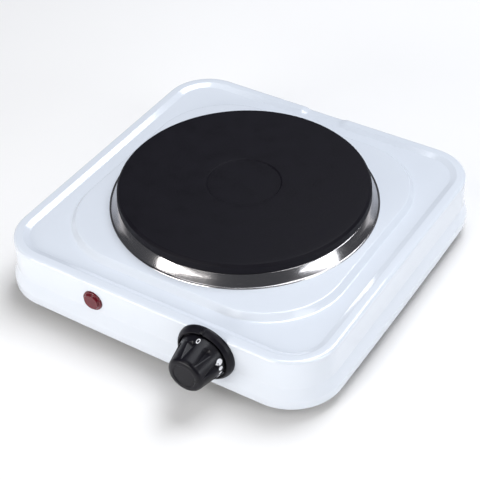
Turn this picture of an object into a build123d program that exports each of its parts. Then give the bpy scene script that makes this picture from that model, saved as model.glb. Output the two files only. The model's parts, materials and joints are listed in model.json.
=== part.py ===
from build123d import *
import math
import os

# ---------------------------------------------------------------------------
# Portable electric hot plate: one cast-iron plate in a pressed steel housing.
# Millimetres, +Z up, knob at -Y. Every piece is laid out about the plate's axis,
# with the table at z = 0, and then moved so that the origin is the middle of the
# whole appliance, knob included, on the table.
# ---------------------------------------------------------------------------

# Housing, one pressed sheet
sheet = 0.7
body_half = 130.1
corner_radius = 35.0
skirt_height = 40.8
flange_out = 2.9
flange_height = 8.0
flange_bow = 1.1
flare_height = 9.0
flare_blend = 6.0
hem_radius = 2.0
hem_width = 2.0
rim_radius = 2.6
rim_width = 7.0
rim_slope = 4.6
rim_drop = 2.0
rim_blend = 1.2
plateau_half = 108.0
plateau_radius = 61.0
plateau_slope = 3.5
plateau_rise = 4.6
plateau_blend = 1.6
dip_centre_x = -3.0
dip_width = 36.0
dip_depth = 1.2
dip_ramp = 3.0

# Base plate, feet and brackets
foot_stand = 9.0
base_recess = 3.0
base_sheet = 0.7
base_gap = 0.7
base_rim = 4.0
foot_x = 85.0
foot_y = 105.0
foot_radius = 10.0
foot_taper = 1.2
foot_screw_radius = 2.0
screw_clearance = 0.2
bracket_width = 20.0
bracket_sheet = 1.0
bracket_height = 27.0
vent_length = 30.0
vent_width = 4.0
vent_pitch = 10.0
vent_count = 7

# Cast-iron plate
plate_radius = 92.5
plate_top_above_rim = 18.2
plate_side = 7.4
plate_chamfer = 1.8
plate_web = 6.0
neck_radius = 86.0
neck_depth = 10.6
recess_radius = 27.6
recess_depth = 0.8
groove_count = 4
groove_width = 9.0
groove_rib = 3.0
first_groove = 34.0
hub_wall = 3.0
boss_radius = 13.0
coil_radius = 2.6
coil_cover = 1.4
cover_radius = 84.0
cover_sheet = 0.8

# Spill ring
ring_sheet = 0.5
ring_outer = 98.9
ring_crease_radius = 95.1
ring_crease_rise = 4.4
ring_side_gap = 0.3
ring_collar = 2.2
ring_neck_gap = 0.3
hole_gap = 2.5

# Stud, crossbar and nuts
stud_radius = 3.0
nut_across = 10.0
nut_height = 5.0
bar_width = 25.0
bar_sheet = 2.0
bar_drop = 9.7
bar_seat = 10.0
bar_leg_run = 13.0
washer_height = 1.5

# Control: knob, bezel, thermostat
knob_x = 50.9
knob_z = 24.7
bezel_radius = 21.8
bezel_height = 5.5
bezel_floor = 1.6
bezel_bore = 18.6
knob_start = 5.0
knob_base_radius = 17.5
knob_front_radius = 12.9
knob_length = 22.4
knob_edge = 3.8
knob_wall = 2.0
dish_radius = 8.8
dish_depth = 0.5
flute_count = 8
flute_offset = 12.0
flute_start = 9.8
flute_root = 13.2
flute_half_angle = 52.0
hub_radius = 5.5
spindle_radius = 3.0
running_gap = 0.05
flat_height = 1.9
clip_sheet = 0.5
control_screw_x = 11.0
control_screw_radius = 1.5
tbracket_sheet = 1.5
tbracket_height = 16.0
bush_radius = 5.5
bush_length = 5.5
arm_root = 24.0
disc_radius = 6.0
disc_heights = (7.5, 4.0, 4.0, 2.0)
bimetal_sheet = 0.8
set_sheet = 0.5
contact_sheet = 0.4
blade_width = 10.0
bimetal_width = 12.0
contact_reach = 36.0
contact_radius = 2.5
contact_gap = 0.35
pin_reach = 43.0
pin_radius = 1.5
pin_gap = 0.9
bead_radius = 2.4
bead_gap = 0.05
rivet_radius = 1.8
rivet_head = 3.6
tab_width = 6.3
tab_length = 13.0
tab_offset = 4.7

# Indicator lamp
lamp_x = -42.8
lamp_z = 26.0
lens_radius = 7.9
lens_flange = 1.3
lens_proud = 3.0
lens_barrel = 6.0
lens_wall = 1.2
lens_depth = 15.0
neon_radius = 3.0
neon_length = 10.0
cap_depth = 4.0

# Rear cord inlet and terminal block
inlet_x = -50.0
inlet_z = 28.0
inlet_bore = 3.6
inlet_neck = 7.0
inlet_flange = 9.5
inlet_lip = 2.0
block_y = 92.0
block_pitch = 12.0
block_length = 18.0
block_height = 16.0
insert_radius = 2.7
insert_bore = 1.45
block_screw_radius = 1.4

# Internal leads
lead_radius = 1.4
lamp_lead_radius = 0.9

# Heights above the table that several pieces share
skirt_z = foot_stand
rim_z = skirt_z + skirt_height
panel_z = rim_z - rim_drop
plateau_z = panel_z + plateau_rise
plate_z = rim_z + plate_top_above_rim
shoulder_z = plate_z - plate_side
neck_z = shoulder_z - neck_depth
web_z = plate_z - plate_web
base_z = skirt_z + base_recess
base_top = base_z + base_sheet
axis_z = skirt_z + knob_z
hole_radius = neck_radius + hole_gap
front_y = -body_half
inside_y = front_y + sheet
cover_z = neck_z - cover_sheet
bar_top = plateau_z - sheet - bar_drop
bar_bottom = bar_top - bar_sheet
pivot_x = knob_x - arm_root
stack_x = pivot_x - disc_radius - 0.2
stack_y = inside_y + tbracket_sheet
bimetal_y = stack_y + disc_heights[0]
set_y = bimetal_y + bimetal_sheet + disc_heights[1]
contact_y = set_y + set_sheet + disc_heights[2]
stack_end = contact_y + contact_sheet + disc_heights[3]
bush_end = stack_y + bush_length
spindle_tip = bush_end + 1.0
terminal_pitch = 20.0
pin_wire = 1.25
insulator_reach = 7.0
insulator_depth = 6.0
collar_radius = 3.5
terminal_reach = first_groove + groove_width / 2
block_z = base_top + block_height / 2
front_reach = body_half + knob_start + knob_length
rear_reach = body_half + flange_out + flange_bow
plate_axis_y = (front_reach - rear_reach) / 2


def rounded_square(half, radius, z, bow=0.0):
    """Square outline with round corners whose sides swell outward by bow."""
    corners = [(half, half), (-half, half), (-half, -half), (half, -half)]
    swell = 1 + bow / half
    sides = []
    for (x1, y1), (x2, y2) in zip(corners, corners[1:] + corners[:1]):
        if bow:
            middle = ((x1 + x2) / 2 * swell, (y1 + y2) / 2 * swell)
            sides.append(ThreePointArc((x1, y1), middle, (x2, y2)))
        else:
            sides.append(Line((x1, y1), (x2, y2)))
    face = make_face(sides)
    return Pos(0, 0, z) * fillet(face.vertices(), radius)


def slab(half, radius, low, high, bow=0.0):
    return extrude(rounded_square(half, radius, low, bow), amount=high - low)


def frustum(low, high):
    return loft([low, high], ruled=True)


def edges_at(solid, z, half, radius, slack=0.3):
    """Edges at height z that follow the rounded square of this half-width and radius."""
    found = []
    straight = half - radius
    for edge in solid.edges():
        box = edge.bounding_box()
        middle = edge @ 0.5
        over_x = abs(middle.X) - straight
        over_y = abs(middle.Y) - straight
        if over_x > 0 and over_y > 0:
            off = math.hypot(over_x, over_y) - radius
        else:
            off = max(over_x, over_y) - radius
        if max(abs(box.min.Z - z), abs(box.max.Z - z)) < 0.05 and abs(off) < slack:
            found.append(edge)
    return found


def rod_y(x, z, radius, start, end):
    """Solid round bar along Y from start to end."""
    plane = Plane(origin=(x, start, z), x_dir=(1, 0, 0), z_dir=(0, 1, 0))
    return extrude(plane * Circle(radius), amount=end - start)


def rod_z(x, y, radius, low, high):
    return extrude(Pos(x, y, low) * Circle(radius), amount=high - low)


def box_between(low, high):
    size = [b - a for a, b in zip(low, high)]
    centre = [(a + b) / 2 for a, b in zip(low, high)]
    return Pos(*centre) * Box(*size)


def revolve_z(points):
    """Solid of revolution about Z from (radius, height) points."""
    profile = make_face(Plane.XZ * Polyline(*points, close=True))
    return revolve(profile, axis=Axis.Z)


def mitre_offset(points, distance):
    """Open polyline moved sideways by distance, with mitred corners."""
    moved = []
    last = len(points) - 1
    for index, (x, y) in enumerate(points):
        before = points[max(index - 1, 0)]
        after = points[min(index + 1, last)]
        if index == 0:
            before = (2 * x - after[0], 2 * y - after[1])
        if index == last:
            after = (2 * x - before[0], 2 * y - before[1])
        a1 = math.atan2(y - before[1], x - before[0])
        a2 = math.atan2(after[1] - y, after[0] - x)
        turn = (a2 - a1 + math.pi) % (2 * math.pi) - math.pi
        middle = a1 + turn / 2
        reach = distance / math.cos(turn / 2)
        moved.append((x - math.sin(middle) * reach, y + math.cos(middle) * reach))
    return moved


def pressed_ring(points, thickness):
    """Revolved sheet whose outer face follows points and whose wall is inside."""
    return revolve_z(points + mitre_offset(points, thickness)[::-1])


# ------------------------------- housing -----------------------------------

def skirt_form(inset):
    """Flange, flare and wall of the housing as a solid, inset from outside."""
    wall = body_half - inset
    flange = wall + flange_out
    wall_radius = corner_radius - inset
    flange_radius = wall_radius + flange_out
    flare_z = skirt_z + flange_height
    wall_z = flare_z + flare_height
    low = rounded_square(flange, flange_radius, flare_z, flange_bow)
    high = rounded_square(wall, wall_radius, wall_z)
    form = slab(flange, flange_radius, skirt_z + inset, flare_z, flange_bow)
    form += frustum(low, high)
    form += slab(wall, wall_radius, wall_z, rim_z - inset)
    form = fillet(edges_at(form, flare_z, flange, flange_radius, flange_bow + 0.3), flare_blend - inset)
    form = fillet(edges_at(form, wall_z, wall, wall_radius), flare_blend + inset)
    form = fillet(edges_at(form, rim_z - inset, wall, wall_radius), rim_radius - inset)
    hem = edges_at(form, skirt_z + inset, flange, flange_radius, flange_bow + 0.3)
    return fillet(hem, hem_radius - inset)


def dip_cutter(inset):
    """Shallow drain across the back rim, a trapezium drawn along Y."""
    floor = rim_z - dip_depth - inset
    half = dip_width / 2 - dip_ramp
    outline = [(-half, floor), (half, floor), (half + dip_ramp, rim_z - inset),
               (half + dip_ramp, rim_z + 1), (-half - dip_ramp, rim_z + 1),
               (-half - dip_ramp, rim_z - inset)]
    start = body_half - rim_width - rim_slope - 1
    plane = Plane(origin=(dip_centre_x, start, 0), x_dir=(-1, 0, 0), z_dir=(0, 1, 0))
    return extrude(plane * make_face(Polyline(*outline, close=True)), amount=30)


def housing_form(inset):
    """Whole outer form of the pressing, or its inner face when inset."""
    form = skirt_form(inset)
    rim_angle = math.atan2(rim_drop, rim_slope)
    step_angle = math.atan2(plateau_rise, plateau_slope)
    rim_shift = inset * math.tan(rim_angle / 2)
    step_shift = inset * math.tan(step_angle / 2)
    top = body_half - rim_width + rim_shift
    floor = top - rim_slope
    radius = corner_radius - rim_width
    pocket = frustum(rounded_square(floor, radius - rim_slope, panel_z - inset),
                     rounded_square(top, radius, rim_z - inset))
    form -= pocket
    form -= dip_cutter(inset)
    foot = plateau_half - step_shift
    edge = foot - plateau_slope
    plateau = frustum(
        rounded_square(foot, plateau_radius, panel_z - inset),
        rounded_square(edge, plateau_radius - plateau_slope, plateau_z - inset))
    form += plateau
    if inset == 0:
        form = fillet(edges_at(form, panel_z, floor, radius - rim_slope), rim_blend)
        form = fillet(edges_at(form, panel_z, foot, plateau_radius), plateau_blend)
        form = fillet(edges_at(form, plateau_z, edge, plateau_radius - plateau_slope), plateau_blend)
    return form


def top_housing():
    shell = housing_form(0) - housing_form(sheet)
    opening = body_half + flange_out - sheet - hem_width
    shell -= slab(opening, corner_radius, skirt_z - 1, skirt_z + 2 * sheet, flange_bow)
    shell -= rod_z(0, 0, hole_radius, panel_z - 2, plateau_z + 1)
    shell -= rod_y(knob_x, axis_z, spindle_radius + 2, front_y - 1, inside_y + 1)
    for side in (-1, 1):
        shell -= rod_y(knob_x + side * control_screw_x, axis_z,
                       control_screw_radius + screw_clearance, front_y - 1, inside_y + 1)
    shell -= rod_y(lamp_x, skirt_z + lamp_z, lens_barrel + 0.1, front_y - 1, inside_y + 1)
    shell -= rod_y(inlet_x, skirt_z + inlet_z, inlet_neck, -inside_y - 1, body_half + 1)
    return shell


# ------------------------- base, feet and brackets --------------------------

def foot_places():
    return [(sx * foot_x, sy * foot_y) for sx in (-1, 1) for sy in (-1, 1)]


def base_plate():
    half = body_half + flange_out - sheet - hem_width - base_gap
    pan = slab(half, corner_radius, base_z, base_z + base_rim, flange_bow)
    pan -= slab(half - base_sheet, corner_radius - base_sheet, base_top,
                base_z + base_rim + 1, flange_bow)
    for x, y in foot_places():
        pan -= rod_z(x, y, foot_screw_radius + screw_clearance, base_z - 1, base_top + 1)
    slot = extrude(SlotOverall(vent_length, vent_width), amount=3)
    for side in (-1, 1):
        for row in range(vent_count):
            y = (row - (vent_count - 1) / 2) * vent_pitch - 8
            pan -= Pos(side * 32, y, base_z - 1) * slot
    for x in block_screw_places():
        pan -= rod_z(x, block_y, block_screw_radius, base_z - 1, base_top + 1)
    pan -= rod_z(*earth_place(), foot_screw_radius, base_z - 1, base_top + 1)
    return pan


def rubber_feet():
    screw = foot_screw_radius
    head = 2 * screw + 0.3
    ledge = foot_stand * 2 / 3
    profile = [(screw + screw_clearance, base_z), (foot_radius, base_z),
               (foot_radius - foot_taper, 1.0), (foot_radius - foot_taper - 1.0, 0),
               (head, 0), (head, ledge), (screw + screw_clearance, ledge)]
    return [Pos(x, y, 0) * revolve_z(profile) for x, y in foot_places()]


def base_screws():
    ledge = foot_stand * 2 / 3
    radius = foot_screw_radius
    screw = rod_z(0, 0, radius, ledge, base_top + bracket_sheet + 3)
    screw += fillet(rod_z(0, 0, 2 * radius, ledge - 2.4, ledge).edges().sort_by(Axis.Z)[0], 0.8)
    screw -= box_between((-radius, -0.4, ledge - 3), (radius, 0.4, ledge - 1.6))
    screw -= box_between((-0.4, -radius, ledge - 3), (0.4, radius, ledge - 1.6))
    return [Pos(x, y, 0) * screw for x, y in foot_places()]


def corner_brackets():
    """Welded L brackets that carry the base screws, one on the wall by each foot."""
    half = bracket_width / 2
    wall = -inside_y
    tab_end = foot_y - half
    brackets = []
    for x, y in foot_places():
        side = 1 if y > 0 else -1
        leg = box_between((x - half, wall - bracket_sheet, base_top),
                          (x + half, wall, base_top + bracket_height))
        tab = box_between((x - half, tab_end, base_top),
                          (x + half, wall, base_top + bracket_sheet))
        bracket = leg + tab
        bracket -= rod_z(x, abs(y), foot_screw_radius, base_top - 1, base_top + 2)
        if side < 0:
            bracket = mirror(bracket, about=Plane.XZ)
        brackets.append(bracket)
    return brackets


# ------------------------------ hot plate -----------------------------------

def groove_radii():
    pitch = groove_width + groove_rib
    return [first_groove + index * pitch for index in range(groove_count)]


def hot_plate():
    top = plate_z
    profile = [(0, top), (plate_radius - plate_chamfer, top),
               (plate_radius, top - plate_chamfer), (plate_radius, shoulder_z),
               (neck_radius, shoulder_z), (neck_radius, neck_z), (0, neck_z)]
    plate = revolve_z(profile)
    crown = plate.edges().filter_by(lambda e: abs(e.center().Z - (top - plate_chamfer)) < 0.01)
    plate = fillet(crown, 1.0)
    plate -= rod_z(0, 0, recess_radius, top - recess_depth, top + 1)
    for inner in groove_radii():
        plate -= rod_z(0, 0, inner + groove_width, neck_z - 1, web_z) \
            - rod_z(0, 0, inner, neck_z - 1, web_z)
    plate -= rod_z(0, 0, first_groove - hub_wall, neck_z - 1, web_z)
    plate += rod_z(0, 0, boss_radius, neck_z, web_z)
    return plate - rod_z(0, 0, stud_radius, neck_z - 1, web_z + 1)


def coil_ring(inner):
    """One heating coil laid round its groove, at its outer size."""
    centre = inner + groove_width / 2
    height = web_z - coil_cover - coil_radius
    circle = Plane(origin=(centre, 0, height), x_dir=(1, 0, 0), z_dir=(0, -1, 0)) \
        * Circle(coil_radius)
    return revolve(circle, axis=Axis.Z)


def heating_coils():
    return [coil_ring(inner) for inner in groove_radii()]


def terminal_places():
    return [(side * terminal_pitch / 2, terminal_y()) for side in (-1, 1)]


def terminal_y():
    return -math.sqrt(terminal_reach ** 2 - (terminal_pitch / 2) ** 2)


def ceramic_filler():
    rings = []
    for inner in groove_radii():
        ring = rod_z(0, 0, inner + groove_width, neck_z, web_z)
        ring -= rod_z(0, 0, inner, neck_z - 1, web_z + 1)
        ring -= coil_ring(inner)
        if inner == first_groove:
            for x, y in terminal_places():
                ring -= rod_z(x, y, pin_wire, neck_z - 1, web_z - coil_cover - coil_radius)
        rings.append(ring)
    return rings


def plate_cover():
    cover = rod_z(0, 0, cover_radius, cover_z, neck_z)
    cover -= rod_z(0, 0, stud_radius + screw_clearance, cover_z - 1, neck_z + 1)
    for x, y in terminal_places():
        cover -= rod_z(x, y, collar_radius, cover_z - 1, neck_z + 1)
    return cover


def terminal_insulator():
    """Steatite block under the cover with a collar round each pin."""
    y = terminal_y()
    reach = terminal_pitch / 2 + insulator_reach
    body = box_between((-reach, y - insulator_reach, cover_z - insulator_depth),
                       (reach, y + insulator_reach, cover_z))
    body = fillet(body.edges().filter_by(Axis.Z), 4)
    for x, place in terminal_places():
        body += rod_z(x, place, collar_radius, cover_z, neck_z)
        body -= rod_z(x, place, pin_wire, cover_z - insulator_depth - 1, neck_z + 1)
    return body


def plate_terminals():
    """Pins from the first coil, flattened into push-on tabs below the insulator."""
    pins = []
    top = web_z - coil_cover - 2 * coil_radius
    tab_top = cover_z - insulator_depth
    for x, y in terminal_places():
        pin = rod_z(x, y, pin_wire, tab_top, top) + box_between(
            (x - tab_width / 2, y - 0.4, tab_top - 8), (x + tab_width / 2, y + 0.4, tab_top))
        pins.append(pin)
    return pins


def spill_ring():
    """Stainless ring: lip on the plateau, two slopes, ledge under the plate, collar."""
    base = plateau_z
    side = plate_radius + ring_side_gap
    collar = neck_radius + ring_neck_gap
    ledge = shoulder_z
    outside = [(ring_outer, base + ring_sheet), (ring_outer - 1.2, base + ring_sheet),
               (ring_crease_radius, base + ring_crease_rise), (side, ledge),
               (collar, ledge), (collar, ledge - ring_collar)]
    return pressed_ring(outside, ring_sheet)


def nut(z_top):
    body = extrude(Pos(0, 0, z_top - nut_height) * RegularPolygon(nut_across / 2, 6, major_radius=False),
                   amount=nut_height)
    return body - rod_z(0, 0, stud_radius, z_top - nut_height - 1, z_top + 1)


def mounting_crossbar():
    """Hat-shaped bar that draws the housing up against the spill ring."""
    seat = plateau_z - sheet
    outer = hole_radius + 2.0 + bar_seat
    inner = hole_radius + 2.0
    low = inner - bar_leg_run
    top = [(-outer, seat), (-inner, seat), (-low, bar_top), (low, bar_top), (inner, seat),
           (outer, seat)]
    profile = make_face(Plane.XZ * Polyline(*(top + mitre_offset(top, -bar_sheet)[::-1]), close=True))
    bar = extrude(profile, amount=bar_width / 2, both=True)
    return bar - rod_z(0, 0, stud_radius + screw_clearance, bar_bottom - 1, bar_top + 1)


def spring_washer():
    washer = rod_z(0, 0, 5.4, bar_bottom - washer_height, bar_bottom)
    washer -= rod_z(0, 0, stud_radius + 0.1, bar_bottom - 3, bar_bottom + 1)
    return washer - box_between((0, -0.6, bar_bottom - 3), (7, 0.6, bar_bottom + 1))


def centre_stud():
    end = bar_bottom - washer_height - nut_height - 2
    stud = rod_z(0, 0, stud_radius, end, web_z)
    return chamfer(stud.edges().sort_by(Axis.Z)[0], 0.6)


# ------------------------------- control ------------------------------------

def outward(distance):
    """Y of a point that stands this far in front of the front wall."""
    return front_y - distance


def revolve_control(points, x=knob_x, z=axis_z):
    """Revolve (radius, distance in front of the wall) points about the knob's axis."""
    plane = Plane(origin=(x, front_y, z), x_dir=(1, 0, 0), z_dir=(0, 0, 1))
    profile = plane * make_face(Polyline(*[(r, -d) for r, d in points], close=True))
    return revolve(profile, axis=Axis((x, 0, z), (0, 1, 0)))


def knob_bezel():
    lip = bezel_bore + 0.9
    points = [(spindle_radius + 2, 0), (bezel_radius, 0), (bezel_radius, 1.4),
              (bezel_radius - 0.7, 3.4), (lip, bezel_height), (bezel_bore, bezel_height),
              (bezel_bore - 0.3, bezel_floor), (spindle_radius + 2, bezel_floor)]
    bezel = revolve_control(points)
    mark = box_between((knob_x - 1.4, outward(bezel_height + 0.4), axis_z + bezel_bore - 0.8),
                       (knob_x + 1.4, outward(0.6), axis_z + bezel_radius + 0.7))
    bezel += chamfer(mark.edges().filter_by(Axis.Y).group_by(Axis.Z)[-1], 1.0)
    for side in (-1, 1):
        bezel -= rod_y(knob_x + side * control_screw_x, axis_z,
                       control_screw_radius + screw_clearance, outward(bezel_floor + 1), inside_y)
    return bezel - skirt_form(0)


def control_screws():
    screws = []
    for side in (-1, 1):
        x = knob_x + side * control_screw_x
        screw = rod_y(x, axis_z, control_screw_radius, outward(bezel_floor), stack_y + 1.5)
        screw += rod_y(x, axis_z, 2.7, outward(bezel_floor + 1.7), outward(bezel_floor))
        screw -= box_between((x - 2, outward(bezel_floor + 2), axis_z - 0.35),
                             (x + 2, outward(bezel_floor + 0.9), axis_z + 0.35))
        screws.append(screw)
    return screws


def knob_body():
    front = knob_start + knob_length
    outer = [(0, knob_start), (knob_base_radius, knob_start), (knob_front_radius, front),
             (0, front)]
    body = revolve_control(outer)
    front_edge = body.edges().filter_by(lambda e: abs(e.center().Y - outward(front)) < 0.01)
    return fillet(front_edge, knob_edge)


def flute_cutter():
    """V groove parallel to the axis, blind at the base and running out in front."""
    spread = 9.0
    half_width = spread * math.tan(math.radians(flute_half_angle))
    plane = Plane(origin=(knob_x, outward(flute_start), axis_z), x_dir=(1, 0, 0), z_dir=(0, -1, 0))
    vee = Polyline((0, flute_root), (-half_width, flute_root + spread),
                   (half_width, flute_root + spread), close=True)
    return extrude(plane * make_face(vee), amount=knob_length)


def control_knob():
    start = knob_start
    front = start + knob_length
    body = knob_body()
    for index in range(flute_count):
        angle = flute_offset + index * 360 / flute_count
        turn = Rot(0, -angle, 0)
        body -= Pos(knob_x, 0, axis_z) * turn * Pos(-knob_x, 0, -axis_z) * flute_cutter()
    body -= revolve_control([(0, front), (dish_radius, front), (dish_radius - 0.6, front - dish_depth),
                             (0, front - dish_depth)])
    slope = (knob_base_radius - knob_front_radius) / knob_length
    roof = front - 5.0
    inner_front = flute_root - knob_wall
    body -= revolve_control([(hub_radius, start - 1), (knob_base_radius - knob_wall, start - 1),
                             (knob_base_radius - knob_wall, flute_start - knob_wall),
                             (inner_front, flute_start - knob_wall + 1),
                             (inner_front - slope, roof), (hub_radius, roof)])
    bore_end = outward(roof - 1)
    bore = rod_y(knob_x, axis_z, spindle_radius, bore_end, outward(start - 1))
    limit = flat_height + 2 * clip_sheet
    bore -= box_between((knob_x - 5, bore_end - 1, axis_z + limit),
                        (knob_x + 5, outward(start - 2), axis_z + 5))
    return body - bore


def spindle():
    """Threaded at the back, with a flat at the front for the knob."""
    roof = knob_start + knob_length - 5.0
    tip = outward(roof - 1.5)
    shaft = rod_y(knob_x, axis_z, spindle_radius, tip, spindle_tip)
    shaft -= box_between((knob_x - 5, tip - 1, axis_z + flat_height),
                         (knob_x + 5, outward(knob_start), axis_z + 5))
    return shaft - rod_y(knob_x, axis_z, pin_radius + running_gap, spindle_tip - 3.3,
                         spindle_tip + 1)


def knob_spring():
    """Leaf between the spindle's flat and the knob's bore."""
    low = axis_z + flat_height + clip_sheet / 2
    tip = outward(knob_start + knob_length - 8)
    return box_between((knob_x - 1.3, tip, low), (knob_x + 1.3, tip + 10, low + clip_sheet))


def push_bead():
    """Ceramic bead that carries the spindle's thrust to the set arm."""
    start = spindle_tip + bead_gap
    end = set_y - bead_gap
    bead = rod_y(knob_x, axis_z, bead_radius, start, end)
    nose = bead.edges().sort_by(Axis.Y)[-1]
    bead = fillet(nose, bead_radius - 0.3)
    return bead + rod_y(knob_x, axis_z, pin_radius, spindle_tip - 3.0, start)


def thermostat_bracket():
    half = tbracket_height / 2
    low = (stack_x - disc_radius - 2, inside_y, axis_z - half)
    high = (knob_x + control_screw_x + 7, stack_y, axis_z + half)
    plate = fillet(box_between(low, high).edges().filter_by(Axis.Y), 3)
    plate -= rod_y(knob_x, axis_z, bush_radius - 0.9, inside_y - 1, stack_y + 1)
    plate -= rod_y(stack_x, axis_z, rivet_radius, inside_y - 1, stack_y + 1)
    for side in (-1, 1):
        plate -= rod_y(knob_x + side * control_screw_x, axis_z, control_screw_radius,
                       inside_y - 1, stack_y + 1)
    return plate


def thermostat_bush():
    bush = rod_y(knob_x, axis_z, bush_radius, stack_y, bush_end)
    bush = chamfer(bush.edges().sort_by(Axis.Y)[-1], 0.6)
    bush += rod_y(knob_x, axis_z, bush_radius - 0.9, inside_y, stack_y)
    return bush - rod_y(knob_x, axis_z, spindle_radius + running_gap, inside_y - 1, bush_end + 1)


def insulator_discs():
    starts = (stack_y, bimetal_y + bimetal_sheet, set_y + set_sheet, contact_y + contact_sheet)
    discs = []
    for start, height in zip(starts, disc_heights):
        disc = rod_y(stack_x, axis_z, disc_radius, start, start + height)
        discs.append(disc - rod_y(stack_x, axis_z, rivet_radius, start - 1, start + height + 1))
    return discs


def stack_rivet():
    rivet = rod_y(stack_x, axis_z, rivet_radius, inside_y + 0.3, stack_end + 0.8)
    head = rod_y(stack_x, axis_z, rivet_head, stack_end, stack_end + 1.4)
    return rivet + fillet(head.edges().sort_by(Axis.Y)[-1], 1.0)


def blade(y, thickness, width, start, end, z=None):
    z = axis_z if z is None else z
    return box_between((start, y, z - width / 2), (end, y + thickness, z + width / 2))


def clamped_terminal(y, thickness, side):
    """Strip clamped in the stack, with a push-on tab beyond it on one side."""
    root = blade(y, thickness, blade_width, stack_x - disc_radius - 1, pivot_x - 0.1)
    tab_z = axis_z + side * tab_offset
    tail = blade(y, thickness, tab_width, stack_x - disc_radius - tab_length,
                 stack_x - disc_radius, tab_z)
    return root + tail - rod_y(stack_x, axis_z, rivet_radius, y - 1, y + 2)


def bimetal_root():
    root = blade(bimetal_y, bimetal_sheet, bimetal_width, stack_x - disc_radius, pivot_x - 0.1)
    return root - rod_y(stack_x, axis_z, rivet_radius, bimetal_y - 1, bimetal_y + 2)


def set_arm():
    end = pivot_x + contact_reach + contact_radius + 0.8
    arm = blade(set_y, set_sheet, blade_width, pivot_x, end)
    return fillet(arm.edges().filter_by(Axis.Y).group_by(Axis.X)[-1], 2.5)


def contact_arm():
    end = pivot_x + pin_reach + 4
    arm = blade(contact_y, contact_sheet, blade_width, pivot_x, end)
    return fillet(arm.edges().filter_by(Axis.Y).group_by(Axis.X)[-1], 2.5)


def contact_height():
    return (disc_heights[2] - contact_gap) / 2


def set_contact():
    x = pivot_x + contact_reach
    face = set_y + set_sheet
    button = rod_y(x, axis_z, contact_radius, face, face + contact_height())
    return fillet(button.edges().sort_by(Axis.Y)[-1], 0.7)


def moving_contact():
    x = pivot_x + contact_reach
    button = rod_y(x, axis_z, contact_radius, contact_y - contact_height(), contact_y)
    return fillet(button.edges().sort_by(Axis.Y)[0], 0.7)


def bimetal_strip():
    end = pivot_x + pin_reach + 4
    strip = blade(bimetal_y, bimetal_sheet, bimetal_width, pivot_x, end)
    strip = fillet(strip.edges().filter_by(Axis.Y).group_by(Axis.X)[-1], 3)
    strip -= rod_y(knob_x, axis_z, bead_radius + 1.1, bimetal_y - 1, bimetal_y + 2)
    return strip - rod_y(pivot_x + pin_reach, axis_z, pin_radius, bimetal_y - 1, bimetal_y + 2)


def bimetal_pin():
    x = pivot_x + pin_reach
    pin = rod_y(x, axis_z, pin_radius, bimetal_y - 0.6, contact_y - pin_gap)
    collar = rod_y(x, axis_z, pin_radius + 0.9, bimetal_y + bimetal_sheet,
                   bimetal_y + bimetal_sheet + 1.2)
    return pin + collar


# ------------------------------ indicator -----------------------------------

def indicator_lens():
    """Red lens: flange, shallow dome and a hollow barrel through the wall."""
    z = skirt_z + lamp_z
    bore = lens_barrel - lens_wall
    points = [(0, lens_proud), (lens_barrel - 0.6, lens_proud), (lens_barrel + 0.2, lens_proud - 0.6),
              (lens_barrel + 0.5, lens_flange), (lens_radius - 0.4, lens_flange),
              (lens_radius, lens_flange - 0.5), (lens_radius, 0), (lens_barrel, 0),
              (lens_barrel, -lens_depth), (bore, -lens_depth), (bore, lens_proud - 1.4),
              (0, lens_proud - 1.4)]
    return revolve_control(points, lamp_x, z)


def indicator_clip():
    """Push-on steel ring behind the wall."""
    z = skirt_z + lamp_z
    ring = rod_y(lamp_x, z, lens_barrel + 3, inside_y, inside_y + 0.5)
    return ring - rod_y(lamp_x, z, lens_barrel, inside_y - 1, inside_y + 1)


def neon_lamp():
    z = skirt_z + lamp_z
    start = front_y + 0.6
    glass = rod_y(lamp_x, z, neon_radius, start, start + neon_length)
    glass = fillet(glass.edges().sort_by(Axis.Y)[0], neon_radius - 0.2)
    return glass


def indicator_cap():
    """Rear plug of the lens barrel, with a hole for each lead."""
    z = skirt_z + lamp_z
    end = front_y + lens_depth
    cap = rod_y(lamp_x, z, lens_barrel - lens_wall, end - cap_depth, end)
    cap += rod_y(lamp_x, z, lens_barrel, end, end + 1.2)
    return cap


# --------------------------- inlet and terminals ----------------------------

def cord_gland():
    """Rubber bush in the rear wall; its bore takes the mains cord."""
    z = skirt_z + inlet_z
    gland = rod_y(inlet_x, z, inlet_flange - 1, body_half, body_half + inlet_lip)
    gland = fillet(gland.edges().sort_by(Axis.Y)[-1], 1.0)
    gland += rod_y(inlet_x, z, inlet_neck, -inside_y, body_half)
    gland += rod_y(inlet_x, z, inlet_flange, -inside_y - inlet_lip, -inside_y)
    return gland - rod_y(inlet_x, z, inlet_bore, -inside_y - inlet_lip - 1,
                         body_half + inlet_lip + 1)


def channel_places():
    return [inlet_x + step * block_pitch for step in (-1, 0, 1)]


def block_screw_places():
    return [inlet_x + side * block_pitch / 2 for side in (-1, 1)]


def terminal_block():
    half_x = 1.5 * block_pitch + 1
    low = (inlet_x - half_x, block_y - block_length / 2, base_top)
    high = (inlet_x + half_x, block_y + block_length / 2, base_top + block_height)
    body = fillet(box_between(low, high).edges().filter_by(Axis.Z), 2)
    for x in channel_places():
        body -= rod_y(x, block_z, insert_radius, block_y - block_length, block_y + block_length)
        for y in clamp_rows():
            body -= rod_z(x, y, 2.0, block_z, base_top + block_height + 1)
    for x in block_screw_places():
        body -= rod_z(x, block_y, block_screw_radius + screw_clearance, base_top - 1,
                      base_top + block_height + 1)
        body -= rod_z(x, block_y, 2.6, base_top + block_height - 3, base_top + block_height + 1)
    return body


def clamp_rows():
    return [block_y - block_length / 4, block_y + block_length / 4]


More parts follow.
